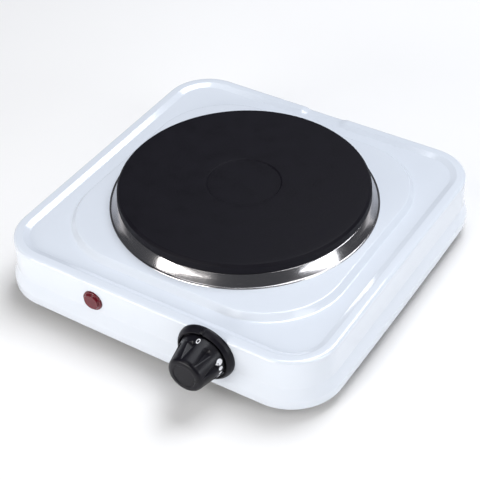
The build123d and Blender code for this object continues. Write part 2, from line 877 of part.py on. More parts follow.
def terminal_inserts():
    inserts = []
    half = block_length / 2 - 1
    for x in channel_places():
        tube = rod_y(x, block_z, insert_radius, block_y - half, block_y + half)
        tube -= rod_y(x, block_z, insert_bore, block_y - half - 1, block_y + half + 1)
        for y in clamp_rows():
            tube -= rod_z(x, y, 1.5, block_z, block_z + 5)
        inserts.append(tube)
    return inserts


def terminal_screws():
    screws = []
    for x in channel_places():
        for y in clamp_rows():
            screw = rod_z(x, y, 1.5, block_z + insert_bore, block_z + 6)
            slot = box_between((x - 2, y - 0.3, block_z + 5.2), (x + 2, y + 0.3, block_z + 7))
            screws.append(screw - slot)
    return screws


def block_screws():
    screws = []
    seat = base_top + block_height - 3
    for x in block_screw_places():
        screw = rod_z(x, block_y, block_screw_radius, base_z - 1, seat)
        screws.append(screw + rod_z(x, block_y, 2.4, seat, seat + 1.6))
    return screws


def earth_place():
    return (inlet_x + 40, block_y - 4)


def earth_tag():
    """Ring tag on the base with a crimp barrel for the earth lead."""
    x, y = earth_place()
    z = base_top
    tag = rod_z(x, y, 4.5, z, z + 0.8) + box_between((x - 2.5, y - 9, z), (x + 2.5, y, z + 0.8))
    tag += box_between((x - 2.3, y - 14, z), (x + 2.3, y - 8, z + 4.2))
    return tag - rod_z(x, y, foot_screw_radius, z - 1, z + 2)


def earth_screw():
    x, y = earth_place()
    screw = rod_z(x, y, foot_screw_radius, base_z - 2, base_top + 0.8)
    return screw + rod_z(x, y, 3.6, base_top + 0.8, base_top + 3.2)


# --------------------------------- leads ------------------------------------

def turn_radii(points):
    """Largest arc that each corner's two runs leave room for."""
    radii = []
    for before, here, after in zip(points, points[1:], points[2:]):
        run_in = Vector(*here) - Vector(*before)
        run_out = Vector(*after) - Vector(*here)
        half_turn = math.radians(run_in.get_angle(run_out)) / 2
        radii.append(0.45 * min(run_in.length, run_out.length) / math.tan(half_turn))
    return radii


def lead(points, radius):
    path = FilletPolyline(*points, radius=turn_radii(points))
    start = Plane(origin=path @ 0, z_dir=path % 0)
    return sweep(start * Circle(radius), path=path)


def receptacle_places():
    """Centre of each push-on receptacle and the direction that its lead leaves."""
    tab_end = stack_x - disc_radius - tab_length
    live = (tab_end - 2, set_y + set_sheet / 2, axis_z + tab_offset)
    load = (tab_end - 2, contact_y + contact_sheet / 2, axis_z - tab_offset)
    plate = [(x, y, cover_z - 15.5) for x, y in terminal_places()]
    return live, load, plate


def lead_receptacles():
    """Crimped push-on connectors, cut clear of the tabs that they grip."""
    live, load, plate = receptacle_places()
    boxes = []
    for (x, y, z), tab in ((live, set_sheet), (load, contact_sheet)):
        sleeve = box_between((x - 3, y - 1.5, z - 3.9), (x + 9, y + 1.5, z + 3.9))
        sleeve -= box_between((x + 1.9, y - tab / 2, z - tab_width / 2),
                              (x + 10, y + tab / 2, z + tab_width / 2))
        boxes.append(sleeve)
    for x, y, z in plate:
        sleeve = box_between((x - 3.9, y - 1.5, z - 3), (x + 3.9, y + 1.5, z + 9))
        sleeve -= box_between((x - tab_width / 2, y - 0.4, z + 1.4), (x + tab_width / 2, y + 0.4, z + 10))
        boxes.append(sleeve)
    return boxes


def lead_routes():
    live, load, plate = receptacle_places()
    block_face = block_y - 3
    left, middle, right = channel_places()
    earth_x, earth_y = earth_place()
    low = base_top + 5
    (lx, ly, lz), (sx, sy, sz) = live, load
    (nx, ny, nz), (px, py, pz) = plate
    lamp_y = front_y + lens_depth + 1.2
    lamp_height = skirt_z + lamp_z
    return {
        "lead_live": (lead_radius, [
            (left, block_face, block_z), (left, 66, block_z), (left - 8, 40, low),
            (left - 14, 8, low), (left - 10, -30, low), (left + 6, -64, low + 1),
            (left + 28, -86, low + 4), (lx - 26, ly + 8, lz - 8), (lx - 12, ly, lz),
            (lx - 3, ly, lz)]),
        "lead_switched": (lead_radius, [
            (sx - 3, sy, sz - 1.6), (sx - 12, sy + 0.5, sz - 2), (sx - 20, sy + 9, sz - 4),
            (sx - 17, sy + 27, sz - 6), (sx - 3, sy + 45, sz - 6), (px - 3, py - 12, pz - 17),
            (px + 2, py - 2, pz - 11.5), (px + 1.6, py, pz - 3)]),
        "lead_neutral": (lead_radius, [
            (middle, block_face, block_z), (middle, 66, block_z), (middle + 3, 40, low),
            (middle + 10, 14, low), (middle + 17, -10, low), (nx - 17, ny + 5, low + 2),
            (nx - 6, ny - 2, nz - 15), (nx - 1.6, ny, nz - 3)]),
        "lead_earth": (lead_radius, [
            (right, block_face, block_z), (right, 70, block_z), (right + 6, 54, low + 2),
            (right + 18, 46, low), (earth_x - 1, 54, base_top + 3),
            (earth_x, earth_y - 14, base_top + 2.2)]),
        "lamp_lead_switched": (lamp_lead_radius, [
            (lamp_x + 2.5, lamp_y, lamp_height), (lamp_x + 2.5, lamp_y + 9, lamp_height),
            (lamp_x + 9, lamp_y + 18, lamp_height - 1), (lamp_x + 20, lamp_y + 17, lamp_height - 3),
            (sx - 12, sy + 6, sz + 2.8), (sx - 3, sy, sz + 2.2)]),
        "lamp_lead_neutral": (lamp_lead_radius, [
            (lamp_x - 2.5, lamp_y, lamp_height), (lamp_x - 2.5, lamp_y + 10, lamp_height),
            (lamp_x + 1, lamp_y + 24, lamp_height - 2), (lamp_x + 10, lamp_y + 40, lamp_height - 6),
            (nx - 10, ny - 16, nz - 13), (nx + 1, ny - 4, nz - 13), (nx + 2.2, ny, nz - 3)]),
    }


# -------------------------------- assembly ----------------------------------

def assembly():
    nodes = {
        "top_housing": top_housing(),
        "base_plate": base_plate(),
        "rubber_feet": rubber_feet(),
        "base_screws": base_screws(),
        "corner_brackets": corner_brackets(),
        "hot_plate": hot_plate(),
        "heating_coils": heating_coils(),
        "ceramic_filler": ceramic_filler(),
        "plate_cover": plate_cover(),
        "terminal_insulator": terminal_insulator(),
        "plate_terminals": plate_terminals(),
        "spill_ring": spill_ring(),
        "centre_stud": centre_stud(),
        "cover_nut": nut(cover_z),
        "mounting_crossbar": mounting_crossbar(),
        "spring_washer": spring_washer(),
        "mounting_nut": nut(bar_bottom - washer_height),
        "knob_bezel": knob_bezel(),
        "control_screws": control_screws(),
        "control_knob": control_knob(),
        "spindle": spindle(),
        "knob_spring": knob_spring(),
        "push_bead": push_bead(),
        "thermostat_bracket": thermostat_bracket(),
        "thermostat_bush": thermostat_bush(),
        "insulator_discs": insulator_discs(),
        "stack_rivet": stack_rivet(),
        "live_terminal": clamped_terminal(set_y, set_sheet, 1),
        "load_terminal": clamped_terminal(contact_y, contact_sheet, -1),
        "bimetal_root": bimetal_root(),
        "set_arm": set_arm(),
        "set_contact": set_contact(),
        "contact_arm": contact_arm(),
        "moving_contact": moving_contact(),
        "bimetal_strip": bimetal_strip(),
        "bimetal_pin": bimetal_pin(),
        "indicator_lens": indicator_lens(),
        "indicator_clip": indicator_clip(),
        "indicator_cap": indicator_cap(),
        "neon_lamp": neon_lamp(),
        "cord_gland": cord_gland(),
        "terminal_block": terminal_block(),
        "terminal_inserts": terminal_inserts(),
        "terminal_screws": terminal_screws(),
        "block_screws": block_screws(),
        "earth_tag": earth_tag(),
        "earth_screw": earth_screw(),
        "lead_receptacles": lead_receptacles(),
    }
    for name, (radius, points) in lead_routes().items():
        nodes[name] = lead(points, radius)
        radii = ", ".join(f"{value:.1f}" for value in turn_radii(points))
        print(f"{name} arc radii: {radii}")
    return nodes


def write(nodes):
    os.makedirs("parts", exist_ok=True)
    for name, shape in nodes.items():
        solids = shape if isinstance(shape, list) else [shape]
        solids = [Pos(0, plate_axis_y, 0) * solid for piece in solids for solid in piece.solids()]
        shape = solids[0] if len(solids) == 1 else Compound(children=solids)
        shape.label = name
        export_step(shape, f"parts/{name}.step")


write(assembly())
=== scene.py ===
"""Portable electric hot plate: its visible pieces, its finishes and a small studio."""

import functools
import json
import math

import bmesh
import bpy
from bpy.props import FloatProperty, FloatVectorProperty, IntProperty, PointerProperty
from mathutils import Matrix, Vector


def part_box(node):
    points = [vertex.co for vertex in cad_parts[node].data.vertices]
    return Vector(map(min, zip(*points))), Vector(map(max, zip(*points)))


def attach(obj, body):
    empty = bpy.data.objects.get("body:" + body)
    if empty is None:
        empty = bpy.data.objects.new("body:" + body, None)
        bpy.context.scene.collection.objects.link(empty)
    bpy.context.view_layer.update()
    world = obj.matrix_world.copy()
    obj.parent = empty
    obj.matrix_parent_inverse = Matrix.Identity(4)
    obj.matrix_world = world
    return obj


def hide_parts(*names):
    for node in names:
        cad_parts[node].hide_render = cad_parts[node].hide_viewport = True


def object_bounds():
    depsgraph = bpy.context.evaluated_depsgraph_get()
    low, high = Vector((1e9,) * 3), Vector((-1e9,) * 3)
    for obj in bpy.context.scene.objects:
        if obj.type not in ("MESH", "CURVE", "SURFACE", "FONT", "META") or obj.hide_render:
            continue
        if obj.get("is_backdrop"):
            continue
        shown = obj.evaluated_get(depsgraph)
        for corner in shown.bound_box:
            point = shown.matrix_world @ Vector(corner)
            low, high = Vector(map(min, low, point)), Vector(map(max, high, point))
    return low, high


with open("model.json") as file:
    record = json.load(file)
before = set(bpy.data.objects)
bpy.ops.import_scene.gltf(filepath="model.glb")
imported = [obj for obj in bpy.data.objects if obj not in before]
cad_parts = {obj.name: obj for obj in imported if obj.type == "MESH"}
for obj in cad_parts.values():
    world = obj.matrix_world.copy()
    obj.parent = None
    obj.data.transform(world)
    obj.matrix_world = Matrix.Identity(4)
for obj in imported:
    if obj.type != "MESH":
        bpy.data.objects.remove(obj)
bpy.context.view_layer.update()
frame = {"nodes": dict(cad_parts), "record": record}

bl_info = {
    "name": "Hot plate",
    "version": (1, 0, 0),
    "blender": (4, 5, 0),
    "location": "3D View > Sidebar > Hot plate",
    "description": "Builds the visible pieces and finishes of a portable electric hot plate",
    "category": "Object",
}

MM = 0.001
FRONT = Matrix.Rotation(math.pi / 2, 3, "X")  # turned pieces on the front wall point to -Y
BACK = Matrix.Rotation(-math.pi / 2, 3, "X")
UPRIGHT = Matrix.Identity(3)
ROUND_COLUMNS = 256
KNOB_COLUMNS = 360
LENS_COLUMNS = 128
GLAND_COLUMNS = 96
DRILL_COLUMNS = 64
MARK_COLUMNS = 40
ARC_STEPS = 5
KNOB_ARC_STEPS = 10
FOLD_SHARE = 0.85  # the most of a run that the rounding of one corner may take
SHARP_ANGLE = math.radians(38)
WELD = 0.001 * MM  # points nearer than this become one
DRILL_DEPTH = 1.7 * MM  # more than the sheet, to each side of the wall's face
SPINDLE_HOLE = 5.0 * MM  # radius of the hole in the wall and in the bezel's floor
SCREW_HOLE = 1.7 * MM
SCREW_HEAD = 2.7 * MM
LAMP_ROOM = 0.1 * MM  # round the lamp's barrel
SPECK_SHARE = 0.35  # radius of a speck as a share of its cell
FLOOR_REACH = 4.0
SENSOR_WIDTH = 36
FAR_CLIP = 20
LIGHTS_AIM = Vector((0, 0, 0.03))

# Clock angle in degrees and width in millimetres of each dot on the knob, hottest first
HEAT_DOTS = (
    (71, 4.8), (89, 3.3), (104, 2.6), (117, 2.2), (130, 1.9), (145, 1.7), (160, 1.5),
    (176, 1.4), (192, 1.3), (208, 1.2), (226, 1.1), (245, 1.0), (265, 0.9), (290, 0.9),
)

# Name, azimuth and elevation in degrees, distance, width and height in metres, watts and tint
LIGHTS = (
    ("front_left_light", -12, 46, 1.3, 0.50, 0.75, 2.6, (1, 1, 1)),
    ("front_right_light", 78, 46, 1.3, 0.50, 0.75, 2.6, (1, 1, 1)),
    ("right_side_light", 90, 13, 1.4, 0.75, 0.3, 5.2, (0.92, 0.96, 1.0)),
    ("top_light", 168, 66, 1.6, 1.0, 1.0, 22, (0.92, 0.95, 1.0)),
    ("low_front_light", -16, 12, 1.4, 1.05, 0.3, 12.0, (1.0, 0.99, 0.97)),
)


# ------------------------------ places in the frame --------------------------

@functools.cache
def box(node):
    """Lowest and highest corner of a CAD node, looked up once."""
    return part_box(node)


def middle(node):
    low, high = box(node)
    return (low + high) / 2


def half_width(node):
    low, high = box(node)
    return (high.x - low.x) / 2


@functools.cache
def plate_axis():
    centre = middle("hot_plate")
    return Vector((centre.x, centre.y, 0))


@functools.cache
def front_wall():
    """Y of the outer face of the front wall: its inner face carries the lamp's clip."""
    return box("indicator_clip")[0].y - bpy.context.scene.hot_plate.housing.sheet


@functools.cache
def on_front_wall(node):
    centre = middle(node)
    return Vector((centre.x, front_wall(), centre.z))


# ---------------------------------- settings ---------------------------------

def size(name, description, millimetres):
    return FloatProperty(name=name, description=description, default=millimetres * MM,
                         unit="LENGTH", precision=5)


def count(name, description, number):
    return IntProperty(name=name, description=description, default=number, min=1)


def turn(name, description, degrees):
    return FloatProperty(name=name, description=description, default=math.radians(degrees),
                         subtype="ANGLE")


def colour(name, description, red, green, blue):
    return FloatVectorProperty(name=name, description=description, subtype="COLOR", size=3,
                               min=0, max=1, default=(red, green, blue))


class HousingSettings(bpy.types.PropertyGroup):
    """Pressed housing, measured on its outer face."""

    sheet: size("Sheet", "Thickness of the steel", 0.7)
    wall_half: size("Wall half width", "Plate axis to the upright wall", 130.1)
    corner: size("Corner radius", "Corner of the wall seen from above", 35.0)
    rim_below_plateau: size("Rim drop", "Rim below the raised plateau", 2.6)
    rim_width: size("Rim width", "Flat band round the edge", 7.0)
    rim_edge: size("Rim edge", "Radius where the rim turns into the wall", 2.6)
    rim_slope: size("Rim slope", "Width of the slope inside the rim", 4.6)
    panel_drop: size("Panel drop", "Panel below the rim", 2.0)
    panel_fold: size("Panel fold", "Radius of the folds beside the panel", 1.8)
    plateau_foot: size("Plateau half width", "Foot of the raised middle", 108.0)
    plateau_corner: size("Plateau corner", "Corner radius of the raised middle", 61.0)
    plateau_slope: size("Plateau slope", "Width of the step up to the plateau", 3.5)
    plateau_fold: size("Plateau fold", "Radius of the folds of the step", 1.6)
    hole_gap: size("Hole gap", "Room between the plate's neck and the housing", 2.5)
    flange_out: size("Flange reach", "Flange beyond the wall", 2.9)
    flange_height: size("Flange height", "Upright band at the bottom", 8.0)
    flange_bow: size("Flange bow", "Swell of the flange at mid side", 1.1)
    flare_height: size("Flare height", "Slope between wall and flange", 9.0)
    flare_fold: size("Flare fold", "Radius at both ends of the flare", 6.0)
    hem: size("Hem", "Radius and width of the turned bottom edge", 2.0)
    dip_place: size("Dip place", "X of the drain dip in the back rim", -3.0)
    dip_width: size("Dip width", "Width of the drain dip", 36.0)
    dip_depth: size("Dip depth", "Depth of the drain dip", 1.2)
    dip_ramp: size("Dip ramp", "Length of each end of the dip", 3.0)
    side_steps: count("Side steps", "Columns along each side", 72)
    corner_steps: count("Corner steps", "Columns round each corner", 20)
    tone: colour("Enamel", "Stove enamel", 0.728, 0.768, 0.832)


class PlateSettings(bpy.types.PropertyGroup):
    """Cast-iron plate and the ring round it."""

    side: size("Side", "Height of the plate's upright side", 7.4)
    chamfer: size("Chamfer", "Bevel at the top edge", 1.8)
    crown: size("Crown", "Rounding of the bevel", 1.0)
    neck: size("Neck", "Radius below the side", 86.0)
    recess: size("Recess", "Radius of the sunk middle", 27.6)
    recess_depth: size("Recess depth", "Depth of the sunk middle", 0.8)
    first_groove: size("First groove", "Inner radius of the first coil groove", 34.0)
    groove_width: size("Groove width", "Width of each coil groove", 9.0)
    groove_pitch: size("Groove pitch", "From one coil groove to the next", 12.0)
    groove_count: count("Grooves", "Number of coil grooves", 4)
    boss: size("Boss", "Radius of the stud's boss", 13.0)
    hub_wall: size("Hub wall", "Wall inside the first groove", 3.0)
    ring_sheet: size("Ring sheet", "Thickness of the spill ring", 0.5)
    ring_lip: size("Ring lip", "Flat lip of the spill ring", 1.2)
    ring_crease: size("Ring crease", "Radius of the crease between its slopes", 95.1)
    crease_rise: size("Crease rise", "Crease above the plateau", 4.4)
    ring_gap: size("Ring gap", "Ring beside the plate", 0.3)
    ring_collar: size("Ring collar", "Depth of the collar round the neck", 2.2)
    iron: colour("Iron", "Blackened cast iron", 0.0050, 0.0044, 0.0072)
    steel: colour("Ring steel", "Polished stainless steel", 0.59, 0.570, 0.573)


class ControlSettings(bpy.types.PropertyGroup):
    """Knob and bezel; distances are from the front wall."""

    bezel_height: size("Bezel height", "Bezel in front of the wall", 5.5)
    bezel_bore: size("Bezel bore", "Inner radius of its lip", 18.6)
    bezel_floor: size("Bezel floor", "Thickness behind the knob", 1.6)
    index_width: size("Index width", "Ridge at the top of the bezel", 2.8)
    index_rise: size("Index rise", "Ridge above the bezel", 0.6)
    edge: size("Knob edge", "Rounding round the knob's face", 3.8)
    front: size("Knob front radius", "Radius at the face, before the rounding", 12.9)
    wall: size("Knob wall", "Thickness of the skirt", 2.0)
    dish: size("Dish", "Radius of the sunk face", 8.8)
    dish_depth: size("Dish depth", "Depth of the sunk face", 0.5)
    flutes: count("Flutes", "Number of finger flutes", 8)
    flute_place: turn("Flute place", "Angle of the first flute from +X", 12)
    flute_start: size("Flute start", "Flute's blind end", 9.8)
    flute_run: size("Flute run-out", "Length over which the blind end deepens", 2.8)
    flute_root: size("Flute root", "Radius of the bottom of a flute", 13.2)
    flute_angle: turn("Flute half angle", "Half the angle between its two faces", 52)
    flute_edge: size("Flute edge", "Softness of the flute's edges", 0.5)
    hub: size("Hub", "Radius of the tube that grips the spindle", 5.5)
    bore: size("Bore", "Radius of the spindle hole", 3.0)
    bore_flat: size("Bore flat", "Distance of the bore's flat from the axis", 2.9)
    roof: size("Roof", "Thickness behind the face", 5.0)
    mark_place: size("Mark place", "Middle of the marks on the skirt", 9.0)
    mark_lift: size("Mark lift", "Height of the printed marks", 0.08)
    plastic: colour("Plastic", "Black knob and bezel", 0.0050, 0.0046, 0.0070)
    ink: colour("Ink", "White marks", 0.86, 0.86, 0.88)


class LampSettings(bpy.types.PropertyGroup):
    """Red lens of the indicator lamp; distances are from the front wall."""

    proud: size("Proud", "Face in front of the wall", 3.0)
    face: size("Face", "Radius of the flat face", 5.3)
    shoulder: size("Shoulder", "Radius where the dome meets the flange", 6.5)
    flange: size("Flange", "Thickness of the flange", 1.3)
    barrel: size("Barrel", "Radius of the barrel through the wall", 6.0)
    barrel_wall: size("Barrel wall", "Thickness of the barrel", 1.2)
    glass: colour("Lens", "Red polycarbonate", 0.17, 0.010, 0.020)


class GlandSettings(bpy.types.PropertyGroup):
    """Rubber gland of the cord, in the rear wall."""

    flange: size("Flange", "Radius of the flange outside the wall", 9.5)
    neck: size("Neck", "Radius through the wall", 7.0)
    bore: size("Bore", "Radius of the cord's hole", 3.6)
    lip: size("Lip", "Thickness of the flange", 2.0)


class StudioSettings(bpy.types.PropertyGroup):
    """Camera, soft lights and floor."""

    azimuth: turn("Camera azimuth", "Camera round the object from the front", 33.139)
    elevation: turn("Camera elevation", "Camera above the table", 40.3)
    roll: turn("Camera roll", "Tilt of the camera about its view", -1.826)
    distance: size("Camera distance", "Camera to the aim point", 914.284)
    lens: FloatProperty(name="Lens", description="Focal length in millimetres on a 36 mm sensor",
                        default=95.16, min=10)
    aim: FloatVectorProperty(name="Aim", description="Aim point from the middle of the footprint",
                             subtype="TRANSLATION", size=3,
                             default=(13.384 * MM, -16.72 * MM, 39.0 * MM))
    floor: colour("Floor", "Plain pale floor", 0.93, 0.915, 0.90)
    sky: colour("Room", "Light that fills the room", 0.86, 0.90, 1.0)
    sky_power: FloatProperty(name="Room light", description="Strength of the room's light",
                             default=0.10, min=0)


class HotPlateSettings(bpy.types.PropertyGroup):
    """All the settings of the hot plate."""

    housing: PointerProperty(type=HousingSettings)
    plate: PointerProperty(type=PlateSettings)
    control: PointerProperty(type=ControlSettings)
    lamp: PointerProperty(type=LampSettings)
    gland: PointerProperty(type=GlandSettings)
    studio: PointerProperty(type=StudioSettings)


@functools.cache
def settings():
    return bpy.context.scene.hot_plate


# --------------------------------- mesh making -------------------------------

def mix(a, b, t):
    return a + (b - a) * t


def smooth_step(value, low, high):
    t = min(max((value - low) / (high - low), 0.0), 1.0)
    return t * t * (3 - 2 * t)


def soft_min(a, b, blend):
    near = max(blend - abs(a - b), 0) / blend
    return min(a, b) - near * near * blend / 4


def soften(points, radii, steps=ARC_STEPS):
    """Open line with its inner corners rounded. The first two numbers of a point are its
    place in the profile, and any others are carried along."""
    points = [Vector(point) for point in points]
    if not isinstance(radii, (list, tuple)):
        radii = [radii] * (len(points) - 2)
    line = [points[0]]
    for before, here, after, radius in zip(points, points[1:], points[2:], radii):
        run_in = before - here
        run_out = after - here
        in_length = run_in.xy.length
        out_length = run_out.xy.length
        opening = run_in.xy.angle(run_out.xy)
        cut = min(radius / math.tan(opening / 2), FOLD_SHARE * in_length, FOLD_SHARE * out_length)
        start = here + run_in * (cut / in_length)
        end = here + run_out * (cut / out_length)
        for step in range(steps + 1):
            t = step / steps
            line.append(mix(mix(start, here, t), mix(here, end, t), t))
    line.append(points[-1])
    return line


def finer(line, pitch):
    """The same line with its long runs divided."""
    points = [line[0]]
    for start, end in zip(line, line[1:]):
        parts = max(1, math.ceil((end - start).xy.length / pitch))
        points += [mix(start, end, part / parts) for part in range(1, parts + 1)]
    return points


def new_object(name, mesh):
    piece = bpy.data.objects.new(name, mesh)
    bpy.context.scene.collection.objects.link(piece)
    return piece


def smooth_shading(mesh):
    mesh.polygons.foreach_set("use_smooth", [True] * len(mesh.polygons))
    mesh.set_sharp_from_angle(angle=SHARP_ANGLE)


def from_rings(name, rings, closed=False, caps=False, outward=True):
    """Mesh through rings of points; a ring of equal points becomes one pole."""
    bm = bmesh.new()
    rows = [[bm.verts.new(point) for point in ring] for ring in rings]
    pairs = list(zip(rows, rows[1:]))
    if closed:
        pairs.append((rows[-1], rows[0]))
    for first, second in pairs:
        for column in range(len(first)):
            after = (column + 1) % len(first)
            bm.faces.new((first[column], second[column], second[after], first[after]))
    if caps:
        bm.faces.new(rows[0])
        bm.faces.new(rows[-1][::-1])
    bmesh.ops.remove_doubles(bm, verts=bm.verts, dist=WELD)
    if outward:
        bmesh.ops.recalc_face_normals(bm, faces=bm.faces)
    mesh = bpy.data.meshes.new(name)
    bm.to_mesh(mesh)
    bm.free()
    smooth_shading(mesh)
    return new_object(name, mesh)


def lathe(name, profile, place, facing=UPRIGHT, columns=ROUND_COLUMNS, closed=False, shape=None):
    """Piece turned about an axis through place, from (radius, height) points."""
    rings = []
    for point in profile:
        ring = []
        for column in range(columns):
            angle = 2 * math.pi * column / columns
            radius, height = point[0], point[1]
            if shape:
                radius, height = shape(radius, height, angle)
            spot = Vector((radius * math.cos(angle), radius * math.sin(angle), height))
            ring.append(place + facing @ spot)
        rings.append(ring)
    return from_rings(name, rings, closed=closed)


def bake_modifiers(piece):
    """Replaces the piece's mesh by what its modifiers make of it."""
    graph = bpy.context.evaluated_depsgraph_get()
    made = bpy.data.meshes.new_from_object(piece.evaluated_get(graph))
    piece.modifiers.clear()
    piece.data = made


def cut_away(piece, cutters):
    for cutter in cutters:
        cut = piece.modifiers.new("Cut", "BOOLEAN")
        cut.operation = "DIFFERENCE"
        cut.solver = "EXACT"
        cut.object = cutter
    bake_modifiers(piece)
    for cutter in cutters:
        bpy.data.objects.remove(cutter)
    smooth_shading(piece.data)


def drill(x, y, z, radius):
    """Round cutter along Y, centred on a wall."""
    profile = [(0, -DRILL_DEPTH), (radius, -DRILL_DEPTH), (radius, DRILL_DEPTH),
               (0, DRILL_DEPTH)]
    return lathe("drill", profile, Vector((x, y, z)), FRONT, columns=DRILL_COLUMNS)


def finish_piece(piece, body, slot, *nodes):
    """Gives a piece its material and its body, and hides the CAD nodes that it stands for."""
    piece.data.materials.clear()
    piece.data.materials.append(finish(slot))
    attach(piece, body)
    if nodes:
        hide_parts(*nodes)


# ----------------------------------- nodes -----------------------------------

class Nodes:
    """Adds nodes to one tree, and links or fills their sockets."""

    def __init__(self, tree):
        self.tree = tree

    def add(self, kind, sockets=None, **values):
        node = self.tree.nodes.new(kind)
        for name, value in values.items():
            setattr(node, name, value)
        for name, value in (sockets or {}).items():
            self.feed(node.inputs[name], value)
        return node

    def feed(self, socket, value):
        if isinstance(value, bpy.types.NodeSocket):
            self.tree.links.new(value, socket)
        else:
            socket.default_value = value

    def group(self, tree, sockets):
        node = self.add("ShaderNodeGroup", node_tree=tree)
        for name, value in sockets.items():
            self.feed(node.inputs[name], value)
        return node.outputs

    def spread(self, value, low, high):
        """A mask from 0 to 1 turned into the range from low to high."""
        return self.add("ShaderNodeMapRange", {"Value": value, "To Min": low, "To Max": high}).outputs[0]

    def ramp(self, value, first, last):
        node = self.add("ShaderNodeValToRGB", {"Fac": value})
        node.color_ramp.elements[0].color = (*first, 1)
        node.color_ramp.elements[1].color = (*last, 1)
        return node.outputs["Color"]

    def maths(self, operation, first, second):
        node = self.add("ShaderNodeMath", operation=operation)
        self.feed(node.inputs[0], first)
        self.feed(node.inputs[1], second)
        return node.outputs[0]


def new_group(name, inputs, outputs):
    """Node group with float sockets, apart from the vectors named Vector and Centre."""
    tree = bpy.data.node_groups.new(name, "ShaderNodeTree")
    for label in inputs:
        kind = "NodeSocketVector" if label in ("Vector", "Centre") else "NodeSocketFloat"
        tree.interface.new_socket(label, in_out="INPUT", socket_type=kind)
    for label in outputs:
        tree.interface.new_socket(label, in_out="OUTPUT", socket_type="NodeSocketFloat")
    nodes = Nodes(tree)
    given = nodes.add("NodeGroupInput").outputs
    made = nodes.add("NodeGroupOutput").inputs
    return tree, nodes, given, made


def grain_group():
    """Broad patches for tone and roughness, and a fine relief."""
    name = "Surface grain"
    if name in bpy.data.node_groups:
        return bpy.data.node_groups[name]
    tree, nodes, given, made = new_group(name, ["Vector", "Patches", "Grains"], ["Mask", "Height"])
    broad = nodes.add("ShaderNodeTexNoise", {"Vector": given["Vector"], "Scale": given["Patches"],
                                             "Detail": 4.0, "Roughness": 0.6})
    fine = nodes.add("ShaderNodeTexNoise", {"Vector": given["Vector"], "Scale": given["Grains"],
                                            "Detail": 2.0})
    contrast = nodes.add("ShaderNodeMapRange", {"Value": broad.outputs["Fac"], "From Min": 0.3,
                                                "From Max": 0.7})
    nodes.feed(made["Mask"], contrast.outputs[0])
    nodes.feed(made["Height"], fine.outputs["Fac"])
    return tree


def turned_group():
    """Fine rings left by a lathe about an upright axis through Centre."""
    name = "Turned rings"
    if name in bpy.data.node_groups:
        return bpy.data.node_groups[name]
    tree, nodes, given, made = new_group(name, ["Vector", "Centre", "Rings"], ["Mask"])
    offset = nodes.add("ShaderNodeVectorMath", operation="SUBTRACT")
    nodes.feed(offset.inputs[0], given["Vector"])
    nodes.feed(offset.inputs[1], given["Centre"])
    flat = nodes.add("ShaderNodeVectorMath", operation="MULTIPLY")
    nodes.feed(flat.inputs[0], offset.outputs[0])
    nodes.feed(flat.inputs[1], (1, 1, 0))
    radius = nodes.add("ShaderNodeVectorMath", operation="LENGTH")
    nodes.feed(radius.inputs[0], flat.outputs[0])
    rings = nodes.add("ShaderNodeTexNoise", {"W": radius.outputs["Value"], "Scale": given["Rings"],
                                             "Detail": 2.0}, noise_dimensions="1D")
    contrast = nodes.add("ShaderNodeMapRange", {"Value": rings.outputs["Fac"], "From Min": 0.3,
                                                "From Max": 0.7})
    nodes.feed(made["Mask"], contrast.outputs[0])
    return tree


def speck_group():
    """Scattered small specks, 1 at a speck and 0 between."""
    name = "Specks"
    if name in bpy.data.node_groups:
        return bpy.data.node_groups[name]
    tree, nodes, given, made = new_group(name, ["Vector", "Density", "Speck size"], ["Mask"])
    cells = nodes.add("ShaderNodeTexVoronoi", {"Vector": given["Vector"], "Scale": given["Density"]})
    inside = nodes.add("ShaderNodeMapRange", {"Value": cells.outputs["Distance"], "From Min": 0.0,
                                              "From Max": given["Speck size"], "To Min": 1.0,
                                              "To Max": 0.0})
    nodes.feed(made["Mask"], inside.outputs[0])
    return tree


# ---------------------------------- finishes ---------------------------------

class Look:
    """What a finish is made of. Patch and grain are feature sizes in millimetres, and relief is
    the height of the grain in millimetres."""

    def __init__(self, tone, shade, rough, patch=8, grain=0.4, relief=0.004, metallic=0.0,
                 rings=0, specks=0, **shader):
        self.tone = tone
        self.shade = shade
        self.rough = rough
        self.patch = patch
        self.grain = grain
        self.relief = relief
        self.metallic = metallic
        self.rings = rings
        self.specks = specks
        self.shader = shader


def tinted(tone, factor):
    return tuple(min(1.0, part * factor) for part in tone)


def metal(tone, rough, **more):
    return Look(tone, tinted(tone, 0.78), rough, metallic=1.0, **more)


def sleeve(tone):
    return Look(tone, tinted(tone, 0.8), (0.32, 0.46), patch=5, grain=0.5, relief=0.01,
                coat=0.1)


